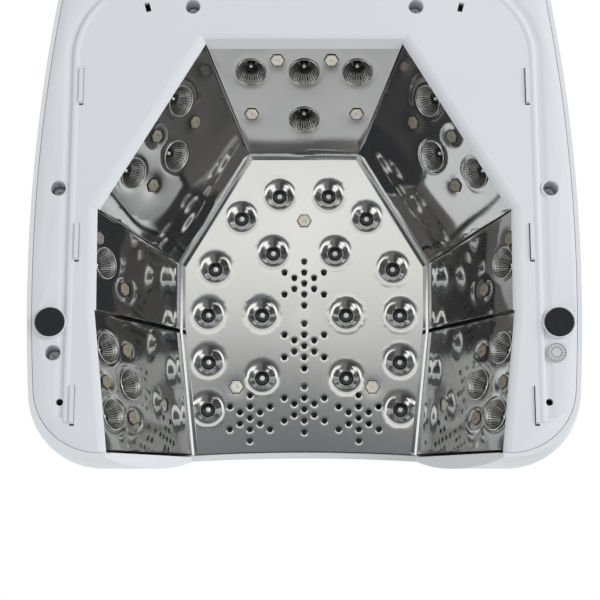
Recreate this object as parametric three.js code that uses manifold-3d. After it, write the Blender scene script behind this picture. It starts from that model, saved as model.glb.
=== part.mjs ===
// Rechargeable nail lamp with its loose bottom tray taken out.
// Millimetres, +Z up. The lamp stands on its rubber feet at z = 0 and the hand opening faces -Y.
// Right is +X, as seen by someone who sits in front of the lamp.

import * as THREE from 'three';
import * as BufferGeometryUtils from 'three/addons/utils/BufferGeometryUtils.js';
import Module from 'manifold-3d';

const wasm = await Module();
wasm.setup();

// Casing
const overallWidth = 232;
const overallDepth = 226;
const overallHeight = 95;
const shellWall = 2;
const shellBottomInset = 1.1;
const bulgeHeight = 14;
const widestPlace = -29;
const sideBowRadius = 776;
const frontCornerRadius = 29;
const rearCornerRadius = 24;
const sideShoulder = 58;
const frontShoulder = 71;
const rearShoulder = 58;
const archLipDepth = 2;
const archLipHeight = 6;
const archHollow = 2.1;
const archHollowHalf = 58;
const archCutReach = 12;

// Base frame. Insets are measured inward from the casing's widest side, its front or its rear.
const baseHeight = 2;
const plateThickness = 2.4;
const collarSheet = 0.8;
const collarRise = { front: 1.1, side: 1.1, diagonal: 2.3, back: 4.6 };
const collarFoot = 3.2;
const ridgeSideInset = 19.8;
const ridgeRearInset = 17;
const ridgeFrontInset = 15.6;
const ridgeCornerRadius = 34.5;
const ridgeBand = 2.3;
const ridgeHeight = 0.5;
const grooveWidth = 3;
const grooveDepth = 0.9;
const slitWidth = 1;
const slitLength = 16.5;
const slitInset = 1.9;
const frontSlitInset = 22;
const middleSlitPlace = -19.7;
const rearSlitInset = 64.7;
const catchSlot = { width: 2.2, length: 4.2, sideInset: 48.7, rearInset: 28.5, turn: 15 };
const smallHole = { radius: 1.5, sideInset: 16, frontInset: 24 };

// Cavity: the section polygon where the base frame's underside cuts it, and how far each wall leans
const mouthInset = 35.3;
const frontCornerInset = { side: 29, front: 63 };
const sideCornerInset = 28.5;
const sideCornerPlace = -5.7;
const backCornerHalf = 43.1;
const backCornerInset = 42.8;
const wallLean = { front: 34.6, side: 34.5, diagonal: 35.2, back: 35.9 };
const ceilingDrop = 45;

// Sheet parts
const wallSheet = 0.8;
const wallSetback = 1.5;
const wallSeam = 0.7;
const ceilingSheet = 0.8;
const rimRadius = 3.2;
const rimUpstand = 0.8;
const rimClearance = 0.9;
const mouthClearance = 0.9;
const mouthOverrun = 30;

// LED openings, lenses and cups
const dishRadius = 6.9;
const dishDepth = 2.6;
const dishSides = 10;
const lensHoleRadius = 3.1;
const lensRadius = 2.6;
const lensRecess = 1.4;
const cupRadius = 6.8;
const cupHoleRadius = 6.3;
const cupDepth = 7.5;
const cupFloorRadius = 3.1;
const cupBoreRadius = 2.4;
const cupWall = 0.3;
const cupLensRadius = 1.9;
const boardThickness = 1.6;
const boardSeam = 4;
const ceilingBoardLift = 4.6;
const boardRimInset = 3;
const rivetRadius = 3;
const rivetHeight = 0.9;
const rivetShank = 1.5;
const rivetHoleRadius = 1.9;
const ventRadius = 1.25;
const ventPitch = 5;
const ventWindowRadius = 11.3;

// Fasteners, feet and seal
const wellRadius = 3.2;
const wellWall = 1.4;
const wellTop = 14;
const wellFloor = 1.8;
const screwShank = 1.35;
const screwLength = 11;
const screwSpare = 2;
const screwHeadRadius = 2.75;
const screwHeadHeight = 1.9;
const bossRadius = 4;
const rearScrew = { x: 48, rearInset: 28.1 };
const middleScrew = { sideInset: 12.6, y: 2.7 };
const frontScrew = { sideInset: 12.5, frontInset: 44.7 };
const footRadius = 5.8;
const footThickness = 2.3;
const footCupWall = 0.7;
const frontFoot = { sideInset: 11, frontInset: 57.5 };
const rearFoot = { sideInset: 36, rearInset: 15 };
const sealRadius = 4.1;
const sealThickness = 0.2;

// Controls on the deck
const buttonRadius = 6.5;
const buttonProud = 0.8;
const buttonFlange = 1.5;
const buttonTravel = 0.8;
const buttonPitch = 24;
const buttonInset = 12;
const displayWidth = 46;
const displayDepth = 20;
const displayCorner = 4;
const displayThickness = 0.8;
const displayPitch = 26;
const controlBoardDrop = 8;
const controlBoardWidth = 104;
const controlBoardDepth = 58;
const boardPostRadius = 2.5;
const boardPostInset = 4;
const processor = { width: 14, depth: 14, height: 3, x: 20, y: 4 };
const relay = { width: 10, depth: 8, height: 4, x: -30, y: 8 };

// Rear connections
const rearPadWidth = 66;
const rearPadLow = 15;
const rearPadHigh = 41;
const rearPadThickness = 3.6;
const rearPadRecess = 1.6;
const rearPadBorder = 1;
const switchWidth = 19;
const switchHeight = 13;
const switchDepth = 14;
const switchPlace = 16;
const switchTilt = 7;
const switchBezel = 1.5;
const switchShell = 1.5;
const switchCrown = 1.8;
const flangeThickness = 1.2;
const socketRadius = 4;
const socketFlange = 5.6;
const socketBore = 2.75;
const socketPin = 1;
const socketLength = 12;
const socketPlace = -16;
const rearVent = { width: 2.2, height: 16, pitch: 6, count: 5, x: 62 };

// Battery
const cellRadius = 9.2;
const cellLength = 65;
const cellCount = 4;
const batteryRow = -22;
const trayThickness = 1.4;
const trayRimHeight = 7;
const trayMargin = 2;
const trayLegHeight = 3;
const trayLegRadius = 2.5;
const trayLegPlace = 33;
const trayLegInset = 4;

// Clearances
const gap = 0.3;
const cupSeat = 0.2;

const sideFace = overallWidth / 2;
const frontFace = -overallDepth / 2;
const backFace = overallDepth / 2;
const roofUnderside = overallHeight - shellWall;
const plateTop = baseHeight + plateThickness;
const ceilingHeight = overallHeight - ceilingDrop;
const cavityHeight = ceilingHeight - baseHeight;
const ridgeHalfWidth = sideFace - ridgeSideInset;
const ridgeRear = backFace - ridgeRearInset;
const ridgeFront = frontFace + ridgeFrontInset;
const slitPlaces = [frontFace + frontSlitInset, middleSlitPlace, backFace - rearSlitInset];
const mouthHalfWidth = sideFace - mouthInset;
const frontCorner = { x: sideFace - frontCornerInset.side, y: frontFace + frontCornerInset.front };
const sideCorner = { x: sideFace - sideCornerInset, y: sideCornerPlace };
const backCorner = { x: backCornerHalf, y: backFace - backCornerInset };
const screwPlaces = [
  [rearScrew.x, backFace - rearScrew.rearInset],
  [sideFace - middleScrew.sideInset, middleScrew.y],
  [sideFace - frontScrew.sideInset, frontFace + frontScrew.frontInset],
];
const footPlaces = [
  [sideFace - frontFoot.sideInset, frontFace + frontFoot.frontInset],
  [sideFace - rearFoot.sideInset, backFace - rearFoot.rearInset],
];
const buttonRow = frontFace + frontShoulder + buttonInset;
const displayRow = buttonRow + displayPitch;

const colours = {
  white_casing: [0xdadcdf, 0.45, 0],
  white_frame: [0xd6d9dc, 0.5, 0],
  satin_steel: [0xb8b9b6, 0.35, 1],
  mirror_steel: [0x9a9da0, 0.08, 1],
  chrome_cup: [0xa8a8a4, 0.12, 1],
  white_board: [0xd8d8cf, 0.6, 0],
  black_rubber: [0x1e2021, 0.9, 0],
  silver_foil: [0xaeb0b2, 0.4, 1],
  green_board: [0x2c5b3c, 0.6, 0],
  smoked_window: [0x17191c, 0.15, 0],
  white_button: [0xe4e6e8, 0.4, 0],
  black_plastic: [0x1b1c1e, 0.5, 0],
  nickel_metal: [0xa9a8a3, 0.3, 1],
  blue_wrap: [0x2b63a8, 0.4, 0],
  grey_tray: [0x8c9094, 0.6, 0],
};

const lamp = new THREE.Group();
lamp.name = 'nail_lamp';

function addMesh(name, geometry, colour) {
  const [color, roughness, metalness] = colours[colour];
  const material = new THREE.MeshStandardMaterial({ color, roughness, metalness });
  const mesh = new THREE.Mesh(geometry, material);
  mesh.name = name;
  lamp.add(mesh);
  return mesh;
}

// Solids: a closed, indexed geometry turned into a manifold and back

function signedVolume(position, index) {
  const a = new THREE.Vector3();
  const b = new THREE.Vector3();
  const c = new THREE.Vector3();
  let sum = 0;
  for (let i = 0; i < index.length; i += 3) {
    a.fromBufferAttribute(position, index[i]);
    b.fromBufferAttribute(position, index[i + 1]);
    c.fromBufferAttribute(position, index[i + 2]);
    sum += a.dot(b.cross(c)) / 6;
  }
  return sum;
}

function weld(geometry) {
  const bare = geometry.clone();
  bare.deleteAttribute('normal');
  bare.deleteAttribute('uv');
  const merged = BufferGeometryUtils.mergeVertices(bare, 1e-4);
  const source = merged.index.array;
  const kept = [];
  for (let i = 0; i < source.length; i += 3) {
    const [p, q, r] = [source[i], source[i + 1], source[i + 2]];
    if (p !== q && q !== r && r !== p) kept.push(p, q, r);
  }
  if (signedVolume(merged.attributes.position, kept) < 0) kept.reverse();
  merged.setIndex(kept);
  return merged;
}

function solid(geometry) {
  const merged = weld(geometry);
  const vertProperties = new Float32Array(merged.attributes.position.array);
  const triVerts = new Uint32Array(merged.index.array);
  return new wasm.Manifold(new wasm.Mesh({ numProp: 3, vertProperties, triVerts }));
}

function toGeometry(body) {
  const mesh = body.getMesh();
  const geometry = new THREE.BufferGeometry();
  const positions = new Float32Array(mesh.numVert * 3);
  for (let i = 0; i < mesh.numVert; i += 1) {
    for (let k = 0; k < 3; k += 1) positions[3 * i + k] = mesh.vertProperties[mesh.numProp * i + k];
  }
  geometry.setAttribute('position', new THREE.BufferAttribute(positions, 3));
  geometry.setIndex(new THREE.BufferAttribute(new Uint32Array(mesh.triVerts), 1));
  geometry.computeVertexNormals();
  return geometry;
}

function join(bodies) {
  return bodies.reduce((sum, body) => sum.add(body));
}

function prism(shape, low, high, curveSegments = 6) {
  const options = { depth: high - low, bevelEnabled: false, curveSegments };
  return solid(new THREE.ExtrudeGeometry(shape, options).translate(0, 0, low));
}

function box(sizeX, sizeY, sizeZ, x, y, z) {
  return solid(new THREE.BoxGeometry(sizeX, sizeY, sizeZ).translate(x, y, z));
}

function column(radius, low, high, x, y, sides = 12) {
  const cylinder = new THREE.CylinderGeometry(radius, radius, high - low, sides);
  return solid(cylinder.rotateX(Math.PI / 2).translate(x, y, (low + high) / 2));
}

function turned(profile, sides) {
  const points = profile.map(([radius, height]) => new THREE.Vector2(radius, height));
  return new THREE.LatheGeometry(points, sides).rotateX(Math.PI / 2);
}

function polygonShape(points) {
  return new THREE.Shape(points.map((p) => new THREE.Vector2(p.x, p.y)));
}

function roundedRectangle(width, height, radius) {
  const [x, y] = [width / 2, height / 2];
  const shape = new THREE.Shape();
  shape.absarc(x - radius, y - radius, radius, 0, Math.PI / 2);
  shape.absarc(radius - x, y - radius, radius, Math.PI / 2, Math.PI);
  shape.absarc(radius - x, radius - y, radius, Math.PI, 1.5 * Math.PI);
  shape.absarc(x - radius, radius - y, radius, 1.5 * Math.PI, 2 * Math.PI);
  return shape;
}

// A closed skin through rings that all have the same number of points, flat at both ends
function loft(rings) {
  const count = rings[0].points.length;
  const positions = [];
  for (const { points, z } of rings) {
    for (const p of points) positions.push(p.x, p.y, z);
  }
  const index = [];
  for (let k = 0; k + 1 < rings.length; k += 1) {
    for (let i = 0; i < count; i += 1) {
      const j = (i + 1) % count;
      const [a, b] = [k * count + i, k * count + j];
      index.push(a, b, b + count, a, b + count, a + count);
    }
  }
  const last = (rings.length - 1) * count;
  for (const [p, q, r] of THREE.ShapeUtils.triangulateShape(rings[0].points, [])) {
    index.push(r, q, p);
  }
  for (const [p, q, r] of THREE.ShapeUtils.triangulateShape(rings.at(-1).points, [])) {
    index.push(last + p, last + q, last + r);
  }
  const geometry = new THREE.BufferGeometry();
  geometry.setAttribute('position', new THREE.Float32BufferAttribute(positions, 3));
  geometry.setIndex(index);
  return geometry;
}

// Moves each edge of a counter-clockwise polygon outward by its own distance
function offsetPolygon(points, distances) {
  const count = points.length;
  const lines = points.map((p, i) => {
    const q = points[(i + 1) % count];
    const along = new THREE.Vector2().subVectors(q, p).normalize();
    const out = new THREE.Vector2(along.y, -along.x);
    const distance = Array.isArray(distances) ? distances[i] : distances;
    return { point: p.clone().addScaledVector(out, distance), along };
  });
  return points.map((_, i) => crossing(lines[(i + count - 1) % count], lines[i]));
}

function crossing(a, b) {
  const across = a.along.x * b.along.y - a.along.y * b.along.x;
  const gapX = b.point.x - a.point.x;
  const gapY = b.point.y - a.point.y;
  if (Math.abs(across) < 1e-9) return b.point.clone();
  const t = (gapX * b.along.y - gapY * b.along.x) / across;
  return a.point.clone().addScaledVector(a.along, t);
}

function degrees(angle) {
  return THREE.MathUtils.degToRad(angle);
}

// Casing outline: straight front and rear, bowed sides, round corners.
// The shoulder is a quarter ellipse: at 0 the wall is upright, at 90 degrees it has become the deck.

function casingLevel(angle) {
  return bulgeHeight + (overallHeight - bulgeHeight) * Math.sin(angle);
}

function casingAngle(height) {
  return Math.asin((height - bulgeHeight) / (overallHeight - bulgeHeight));
}

// Where the lip's inner surface reaches the top of the ceiling sheet
function lipAngle(height = ceilingHeight + ceilingSheet) {
  return Math.asin((height - bulgeHeight) / (overallHeight - bulgeHeight - archLipDepth));
}

function frontLean(height) {
  return frontShoulder * (1 - Math.cos(lipAngle(height)));
}

// The lip's inner surface on the lamp's middle plane: one straight slope from the base frame to the ceiling
const lipFoot = frontFace + archLipDepth + shellBottomInset;
const lipRun = frontLean(ceilingHeight + ceilingSheet) - shellBottomInset;
const lipSlope = lipRun / (ceilingHeight + ceilingSheet - baseHeight);

function lipInside(height) {
  return lipFoot + lipSlope * (height - baseHeight);
}

function frontLine(x, lean, inset) {
  const ceilingLean = 1 - Math.cos(casingAngle(ceilingHeight));
  const across = Math.min(1, Math.abs(x) / archHollowHalf);
  const hollow = (archHollow * Math.min(lean, ceilingLean) * (1 - across * across)) / ceilingLean;
  return frontFace + frontShoulder * lean + inset + hollow;
}

function casingRing(lean, inset) {
  const sideRadius = sideBowRadius - sideShoulder * lean - inset;
  const sideCentre = new THREE.Vector2(sideFace - sideBowRadius, widestPlace);
  const front = frontFace + frontShoulder * lean + inset;
  const rear = backFace - rearShoulder * lean - inset;
  const frontRadius = frontCornerRadius - inset / 2;
  const rearRadius = rearCornerRadius - inset / 2;
  const frontFillet = filletCentre(sideCentre, sideRadius, frontRadius, front + frontRadius);
  const rearFillet = filletCentre(sideCentre, sideRadius, rearRadius, rear - rearRadius);
  const low = Math.atan2(frontFillet.y - sideCentre.y, frontFillet.x - sideCentre.x);
  const high = Math.atan2(rearFillet.y - sideCentre.y, rearFillet.x - sideCentre.x);
  const half = [];
  for (let i = 0; i < 4; i += 1) {
    const x = (frontFillet.x * i) / 4;
    half.push(new THREE.Vector2(x, frontLine(x, lean, inset)));
  }
  pushArc(half, frontFillet, frontRadius, -Math.PI / 2, low, 5);
  const widest = low < 0 ? 0 : low + (high - low) / 3;
  pushArc(half, sideCentre, sideRadius, low, widest, 2);
  pushArc(half, sideCentre, sideRadius, widest, high, 3);
  pushArc(half, rearFillet, rearRadius, high, Math.PI / 2, 4);
  half.push(new THREE.Vector2(rearFillet.x, rear));
  half.push(new THREE.Vector2(0, rear));
  const mirrored = half.slice(1, -1).reverse().map((p) => new THREE.Vector2(-p.x, p.y));
  return [...half, ...mirrored];
}

function filletCentre(sideCentre, sideRadius, radius, y) {
  const reach = sideRadius - radius;
  const rise = y - sideCentre.y;
  return new THREE.Vector2(sideCentre.x + Math.sqrt(reach * reach - rise * rise), y);
}

function pushArc(points, centre, radius, from, to, steps) {
  for (let i = 0; i < steps; i += 1) {
    const angle = from + ((to - from) * i) / steps;
    const x = centre.x + radius * Math.cos(angle);
    points.push(new THREE.Vector2(x, centre.y + radius * Math.sin(angle)));
  }
}

// The space inside the casing's outer surface, or inside a wall of the given thickness
function casingVolume(wall, floor) {
  const rings = [
    { points: casingRing(0, shellBottomInset + wall), z: floor },
    { points: casingRing(0, shellBottomInset / 4 + wall), z: (baseHeight + bulgeHeight) / 2 },
  ];
  for (const angle of [0, degrees(14), lipAngle(), ...[45, 65, 90].map(degrees)]) {
    const level = casingLevel(angle) - wall * Math.sin(angle);
    rings.push({ points: casingRing(1 - Math.cos(angle), wall), z: level });
  }
  return solid(loft(rings));
}

// Cavity: the polygon that the mirror walls make at a height, each edge moved outward by `grow`.
// Edges run counter-clockwise from the right front wall; the last edge is the open mouth.

const wallNames = ['front', 'side', 'diagonal', 'back', 'diagonal', 'side', 'front'];
const wallLeans = wallNames.map((name) => degrees(wallLean[name]));
const mouthAtBase = lipInside(baseHeight) + mouthClearance;

const basePolygon = [
  new THREE.Vector2(mouthHalfWidth, mouthAtBase),
  new THREE.Vector2(frontCorner.x, frontCorner.y),
  new THREE.Vector2(sideCorner.x, sideCorner.y),
  new THREE.Vector2(backCorner.x, backCorner.y),
  new THREE.Vector2(-backCorner.x, backCorner.y),
  new THREE.Vector2(-sideCorner.x, sideCorner.y),
  new THREE.Vector2(-frontCorner.x, frontCorner.y),
  new THREE.Vector2(-mouthHalfWidth, mouthAtBase),
];

function cavitySection(height, grow, mouthGrow) {
  const rise = height - baseHeight;
  const moves = wallLeans.map((lean) => grow / Math.cos(lean) - rise * Math.tan(lean));
  moves.push(mouthGrow - (lipInside(height) - lipInside(baseHeight)));
  return offsetPolygon(basePolygon, moves);
}

// A wall's own frame: x along its lower edge, y up its slope, z outward through the sheet
function wallFrame(i) {
  const start = basePolygon[i];
  const end = basePolygon[(i + 1) % basePolygon.length];
  const along = new THREE.Vector3(end.x - start.x, end.y - start.y, 0).normalize();
  const outward = new THREE.Vector3(along.y, -along.x, 0);
  const up = outward.clone().multiplyScalar(-Math.sin(wallLeans[i]));
  up.z = Math.cos(wallLeans[i]);
  const normal = new THREE.Vector3().crossVectors(along, up);
  const matrix = new THREE.Matrix4().makeBasis(along, up, normal);
  matrix.setPosition((start.x + end.x) / 2, (start.y + end.y) / 2, baseHeight);
  return matrix;
}

// The outline that a wall has in its own frame, at `depth` outward from the cavity polygon
function wallOutline(i, depth, low, high, seam) {
  const inverse = wallFrame(i).invert();
  const next = i + 1;
  const levels = [0, 0.35, 0.7, 1].map((share) => low + (high - low) * share);
  const cornerAt = (vertex, height) => {
    const corner = cavitySection(height, depth, 0)[vertex];
    return new THREE.Vector3(corner.x, corner.y, height);
  };
  const rise = (vertex) => {
    const atMouth = vertex === 0 || vertex === basePolygon.length - 1;
    return (atMouth ? levels : [low, high]).map((height) => cornerAt(vertex, height));
  };
  const corners = [...rise(next), ...rise(i).reverse()];
  const flat = corners.map((corner) => corner.applyMatrix4(inverse));
  return offsetPolygon(flat.map((p) => new THREE.Vector2(p.x, p.y)), -seam / 2);
}

// Where the cups and rivets are on each wall. Along: from the middle of its lower edge towards the front
// of the lamp on the side walls, as a share of half that edge. Up: as a share of the wall's slope.
const wallFeatures = {
  back: {
    cups: [[-0.538, 0.307], [0, 0.307], [0.538, 0.307], [0, 0.726]],
    rivets: [[-0.271, 0.204], [0.271, 0.204], [-0.538, 0.675], [0.538, 0.675]],
    boardTop: 0.81,
  },
  diagonal: {
    cups: [[-0.387, 0.158], [0.045, 0.409], [0.482, 0.15]],
    rivets: [[-0.341, 0.393], [0.045, 0.15], [0.432, 0.375]],
    boardTop: 0.562,
  },
  side: {
    cups: [[0, 0.151]],
    rivets: [[-0.447, 0.079], [0.388, 0.369]],
    boardTop: 0.481,
  },
  front: {
    cups: [[-0.514, 0.151], [-0.031, 0.377], [0.463, 0.151]],
    rivets: [[-0.528, 0.365], [0.003, 0.105], [0.466, 0.369]],
    boardTop: 0.532,
  },
};

// In the wall's own frame. Along-wall places run front to rear on the right and rear to front on the left
function placesOnWall(i, kind) {
  const turnRound = i < 3 ? -1 : 1;
  const halfLength = basePolygon[i].distanceTo(basePolygon[i + 1]) / 2;
  const slope = cavityHeight / Math.cos(wallLeans[i]);
  return wallFeatures[wallNames[i]][kind].map(([along, up]) => {
    return [along * halfLength * turnRound, up * slope];
  });
}

const wallLabels = [
  'front_right', 'side_right', 'diagonal_right', 'back', 'diagonal_left', 'side_left', 'front_left',
];

function hexagon(radius, x = 0, y = 0) {
  const shape = new THREE.Shape();
  for (let k = 0; k < 6; k += 1) {
    const angle = (k * Math.PI) / 3;
    const [px, py] = [x + radius * Math.cos(angle), y + radius * Math.sin(angle)];
    if (k === 0) shape.moveTo(px, py);
    else shape.lineTo(px, py);
  }
  shape.closePath();
  return shape;
}

// Base frame

function archSection(grow) {
  const low = cavitySection(baseHeight, 0, 0)[0].x;
  const high = cavitySection(ceilingHeight, 0, 0)[0].x;
  const slope = (low - high) / cavityHeight;
  const bottom = -10;
  const top = ceilingHeight + grow;
  const lowHalf = high + slope * (ceilingHeight - bottom) + grow;
  const highHalf = high + slope * (ceilingHeight - top) + grow;
  return polygonShape([
    new THREE.Vector2(-lowHalf, bottom),
    new THREE.Vector2(lowHalf, bottom),
    new THREE.Vector2(highHalf, top),
    new THREE.Vector2(-highHalf, top),
  ]);
}

function ridgeOutline(grow, front) {
  const half = ridgeHalfWidth + grow;
  const rear = ridgeRear + grow;
  const radius = ridgeCornerRadius + grow;
  const shape = new THREE.Shape();
  shape.moveTo(-half, front);
  shape.lineTo(half, front);
  shape.absarc(half - radius, rear - radius, radius, 0, Math.PI / 2);
  shape.absarc(radius - half, rear - radius, radius, Math.PI / 2, Math.PI);
  return shape;
}

function ridgeRing(from, to, low, high) {
  const outer = prism(ridgeOutline(to, ridgeFront), low, high);
  return outer.subtract(prism(ridgeOutline(from, ridgeFront - 1), low - 1, high + 1));
}

// The cavity polygon's own volume between two heights, grown by a sheet
function cavityVolume(low, high, sheet) {
  const rings = [low, high].map((z) => ({ points: cavitySection(z, sheet, mouthOverrun), z }));
  return solid(loft(rings));
}

// The bevelled collar round the opening: tallest at the back, a mere bevel along the sides
function collars() {
  const reach = overallWidth;
  const whole = cavityVolume(baseHeight, baseHeight + collarRise.side, collarSheet);
  const front = cavityVolume(baseHeight, baseHeight + collarRise.front, collarSheet);
  const frontZone = box(reach, reach, reach, 0, frontCorner.y - reach / 2, 0);
  const diagonal = cavityVolume(baseHeight, baseHeight + collarRise.diagonal, collarSheet);
  const diagonalZone = box(reach, reach, reach, 0, sideCorner.y + reach / 2, 0);
  const back = cavityVolume(baseHeight, baseHeight + collarRise.back, collarSheet);
  const backZone = box(2 * backCorner.x, reach, reach, 0, sideCorner.y + collarRise.back + reach / 2, 0);
  return join([
    whole, front.intersect(frontZone), diagonal.intersect(diagonalZone), back.intersect(backZone),
  ]);
}

function mirroredPlaces(places) {
  return places.flatMap(([x, y]) => [[x, y], [-x, y]]);
}

function frameBlank() {
  const inset = shellBottomInset + shellWall + gap;
  return polygonShape(casingRing(0, inset));
}

function slitCutter(side, place) {
  const x = side * (ridgeHalfWidth - slitInset);
  const slit = box(slitWidth, slitLength, 3 * plateThickness, x, place, baseHeight);
  const endX = x + side * slitWidth;
  const endY = place - slitLength / 2;
  const end = box(3 * slitWidth, 1.5 * slitWidth, 3 * plateThickness, endX, endY, baseHeight);
  return slit.add(end);
}

function catchCutter(side) {
  const { width, length, sideInset, rearInset, turn } = catchSlot;
  const cutter = new THREE.BoxGeometry(width, length, 3 * plateThickness);
  cutter.rotateZ(-side * degrees(turn));
  cutter.translate(side * (sideFace - sideInset), backFace - rearInset, baseHeight);
  return solid(cutter);
}

function framePlate() {
  const plate = prism(frameBlank(), baseHeight, plateTop);
  const clear = polygonShape(cavitySection(baseHeight, collarFoot, mouthOverrun));
  return plate.subtract(prism(clear, baseHeight + collarSheet, plateTop + 1));
}

function frameUprights() {
  const wells = mirroredPlaces(screwPlaces).map(([x, y]) => {
    return column(wellRadius + wellWall, plateTop - 1, wellTop, x, y, 10);
  });
  const footCups = mirroredPlaces(footPlaces).map(([x, y]) => {
    return column(footRadius + gap + footCupWall, footProud(), plateTop, x, y, 14);
  });
  return join([...wells, ...footCups]);
}

function frameCutters() {
  const cutters = [];
  const grooveTop = baseHeight + grooveDepth;
  cutters.push(ridgeRing(ridgeBand, ridgeBand + grooveWidth, footProud() - 1, grooveTop));
  for (const side of [1, -1]) {
    const x = side * (sideFace - smallHole.sideInset);
    cutters.push(column(smallHole.radius, 0, plateTop + 1, x, frontFace + smallHole.frontInset, 8));
    cutters.push(catchCutter(side));
    cutters.push(...slitPlaces.map((place) => slitCutter(side, place)));
  }
  return join(cutters);
}

function wellBores() {
  const bores = mirroredPlaces(screwPlaces).map(([x, y]) => {
    const well = column(wellRadius, -1, wellTop - wellFloor, x, y, 10);
    return well.add(column(screwShank + gap, 0, wellTop + 1, x, y, 6));
  });
  return join(bores);
}

function makeBaseFrame() {
  const inside = prism(frameBlank(), baseHeight, wellTop);
  const ridge = ridgeRing(0, ridgeBand, baseHeight - ridgeHeight, baseHeight + 1);
  const footHoles = mirroredPlaces(footPlaces).map(([x, y]) => {
    return column(footRadius + gap, -1, footThickness + gap, x, y, 14);
  });
  const cavity = cavityVolume(footProud() - 1, wellTop, 0);
  let frame = framePlate().add(collars().intersect(inside)).add(ridge);
  frame = frame.subtract(frameCutters());
  frame = frame.add(frameUprights()).subtract(join(footHoles));
  frame = frame.subtract(wellBores()).subtract(cavity);
  addMesh('base_frame', toGeometry(frame), 'white_frame');
}

// Height of the foot cups' rims above the table
function footProud() {
  return baseHeight / 2;
}

// Top cover

function rearFace(height) {
  return backFace - rearShoulder * (1 - Math.cos(casingAngle(height)));
}

const rearPadMiddle = (rearPadLow + rearPadHigh) / 2;
const rearPadFace = rearFace(rearPadHigh) - rearPadRecess;

function makeTopCover() {
  const outer = casingVolume(0, baseHeight);
  const inner = casingVolume(shellWall, baseHeight - 1);
  let cover = outer.subtract(inner);
  cover = cover.add(archLip(outer));
  cover = cover.add(rearPad(outer));
  cover = cover.add(bosses());
  cover = cover.subtract(standUp(prism(archSection(0), -overallDepth, 0), mouthAtBase + archCutReach));
  cover = cover.subtract(deckCutters());
  cover = cover.subtract(rearCutters());
  addMesh('top_cover', toGeometry(cover), 'white_casing');
}

// Turns a solid made in XY upright, so that its y becomes z, and its z runs from `rear` forward
function standUp(body, rear) {
  return solid(toGeometry(body).rotateX(Math.PI / 2).translate(0, rear - overallDepth, 0));
}

function archLip(outer) {
  const behind = [0, 1, -lipSlope];
  const lipInner = casingVolume(archLipDepth, baseHeight - 1)
    .trimByPlane(behind, (lipFoot - lipSlope * baseHeight) / Math.hypot(...behind));
  const band = prism(archSection(archLipHeight), -overallDepth, 0);
  const bandInPlace = standUp(band, mouthAtBase + archCutReach + archLipHeight);
  const lowest = plateTop + gap;
  const aboveFrame = box(overallWidth, overallDepth, overallHeight, 0, 0, lowest + overallHeight / 2);
  return outer.subtract(lipInner).intersect(bandInPlace).intersect(aboveFrame);
}

function rearPad(outer) {
  const inside = rearPadFace - rearPadThickness;
  const depth = backFace - inside;
  const pad = box(rearPadWidth, depth, rearPadHigh - rearPadLow, 0, inside + depth / 2, rearPadMiddle);
  return pad.intersect(outer);
}

// Screw bosses and board posts, let halfway into the casing's wall so that they fuse with it
function bosses() {
  const posts = mirroredPlaces(screwPlaces).map(([x, y]) => {
    const post = column(bossRadius, wellTop + gap, overallHeight, x, y, 8);
    const boreTop = wellTop + screwLength + screwSpare;
    return post.subtract(column(screwShank + gap, wellTop, boreTop, x, y, 6));
  });
  const boardPosts = controlPostPlaces().map(([x, y]) => {
    return column(boardPostRadius, controlBoardTop() + gap, overallHeight, x, y, 8);
  });
  return join([...posts, ...boardPosts]).intersect(casingVolume(shellWall / 2, baseHeight));
}

function controlBoardTop() {
  return roofUnderside - controlBoardDrop + boardThickness;
}

function controlPostPlaces() {
  const x = controlBoardWidth / 2 - boardPostInset;
  const y = controlBoardDepth / 2 - boardPostInset;
  const middle = controlRow();
  return [[x, middle + y], [-x, middle + y], [x, middle - y], [-x, middle - y]];
}

function controlRow() {
  return (buttonRow + displayRow) / 2;
}

function buttonPlaces() {
  return [-1.5, -0.5, 0.5, 1.5].map((k) => [k * buttonPitch, buttonRow]);
}

function deckCutters() {
  const holes = buttonPlaces().map(([x, y]) => {
    return column(buttonRadius + gap, roofUnderside - 1, overallHeight + 1, x, y, 14);
  });
  const pocket = roundedRectangle(displayWidth + 2 * gap, displayDepth + 2 * gap, displayCorner + gap);
  const floor = overallHeight - displayThickness - gap;
  const window = prism(pocket, floor, overallHeight + 1, 4).translate([0, displayRow, 0]);
  return join([...holes, window]);
}

function rearCutters() {
  const width = rearPadWidth - 2 * rearPadBorder;
  const height = rearPadHigh - rearPadLow - 2 * rearPadBorder;
  const outward = rearShoulder / 2;
  const recess = box(width, outward, height, 0, rearPadFace + outward / 2, rearPadMiddle);
  const switchHole = box(
    switchWidth + 2 * gap, 4 * switchDepth, switchHeight + 2 * gap,
    switchPlace, rearPadFace, rearPadMiddle,
  );
  const socketHole = alongY(column(socketRadius + gap, -socketLength, socketLength, 0, 0, 20));
  const socketInPlace = socketHole.translate([socketPlace, rearPadFace, rearPadMiddle]);
  const slots = [];
  for (const side of [1, -1]) {
    for (let k = 0; k < rearVent.count; k += 1) {
      const x = side * (rearVent.x + (k - (rearVent.count - 1) / 2) * rearVent.pitch);
      slots.push(box(rearVent.width, rearShoulder, rearVent.height, x, backFace, rearPadMiddle));
    }
  }
  return join([recess, switchHole, socketInPlace, ...slots]);
}

// Turns a solid made along Z so that its z points to the rear
function alongY(body) {
  return solid(toGeometry(body).rotateX(-Math.PI / 2));
}

// Ceiling reflector: a stamped plate with a rolled edge, dished LED openings and star-shaped vents

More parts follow.
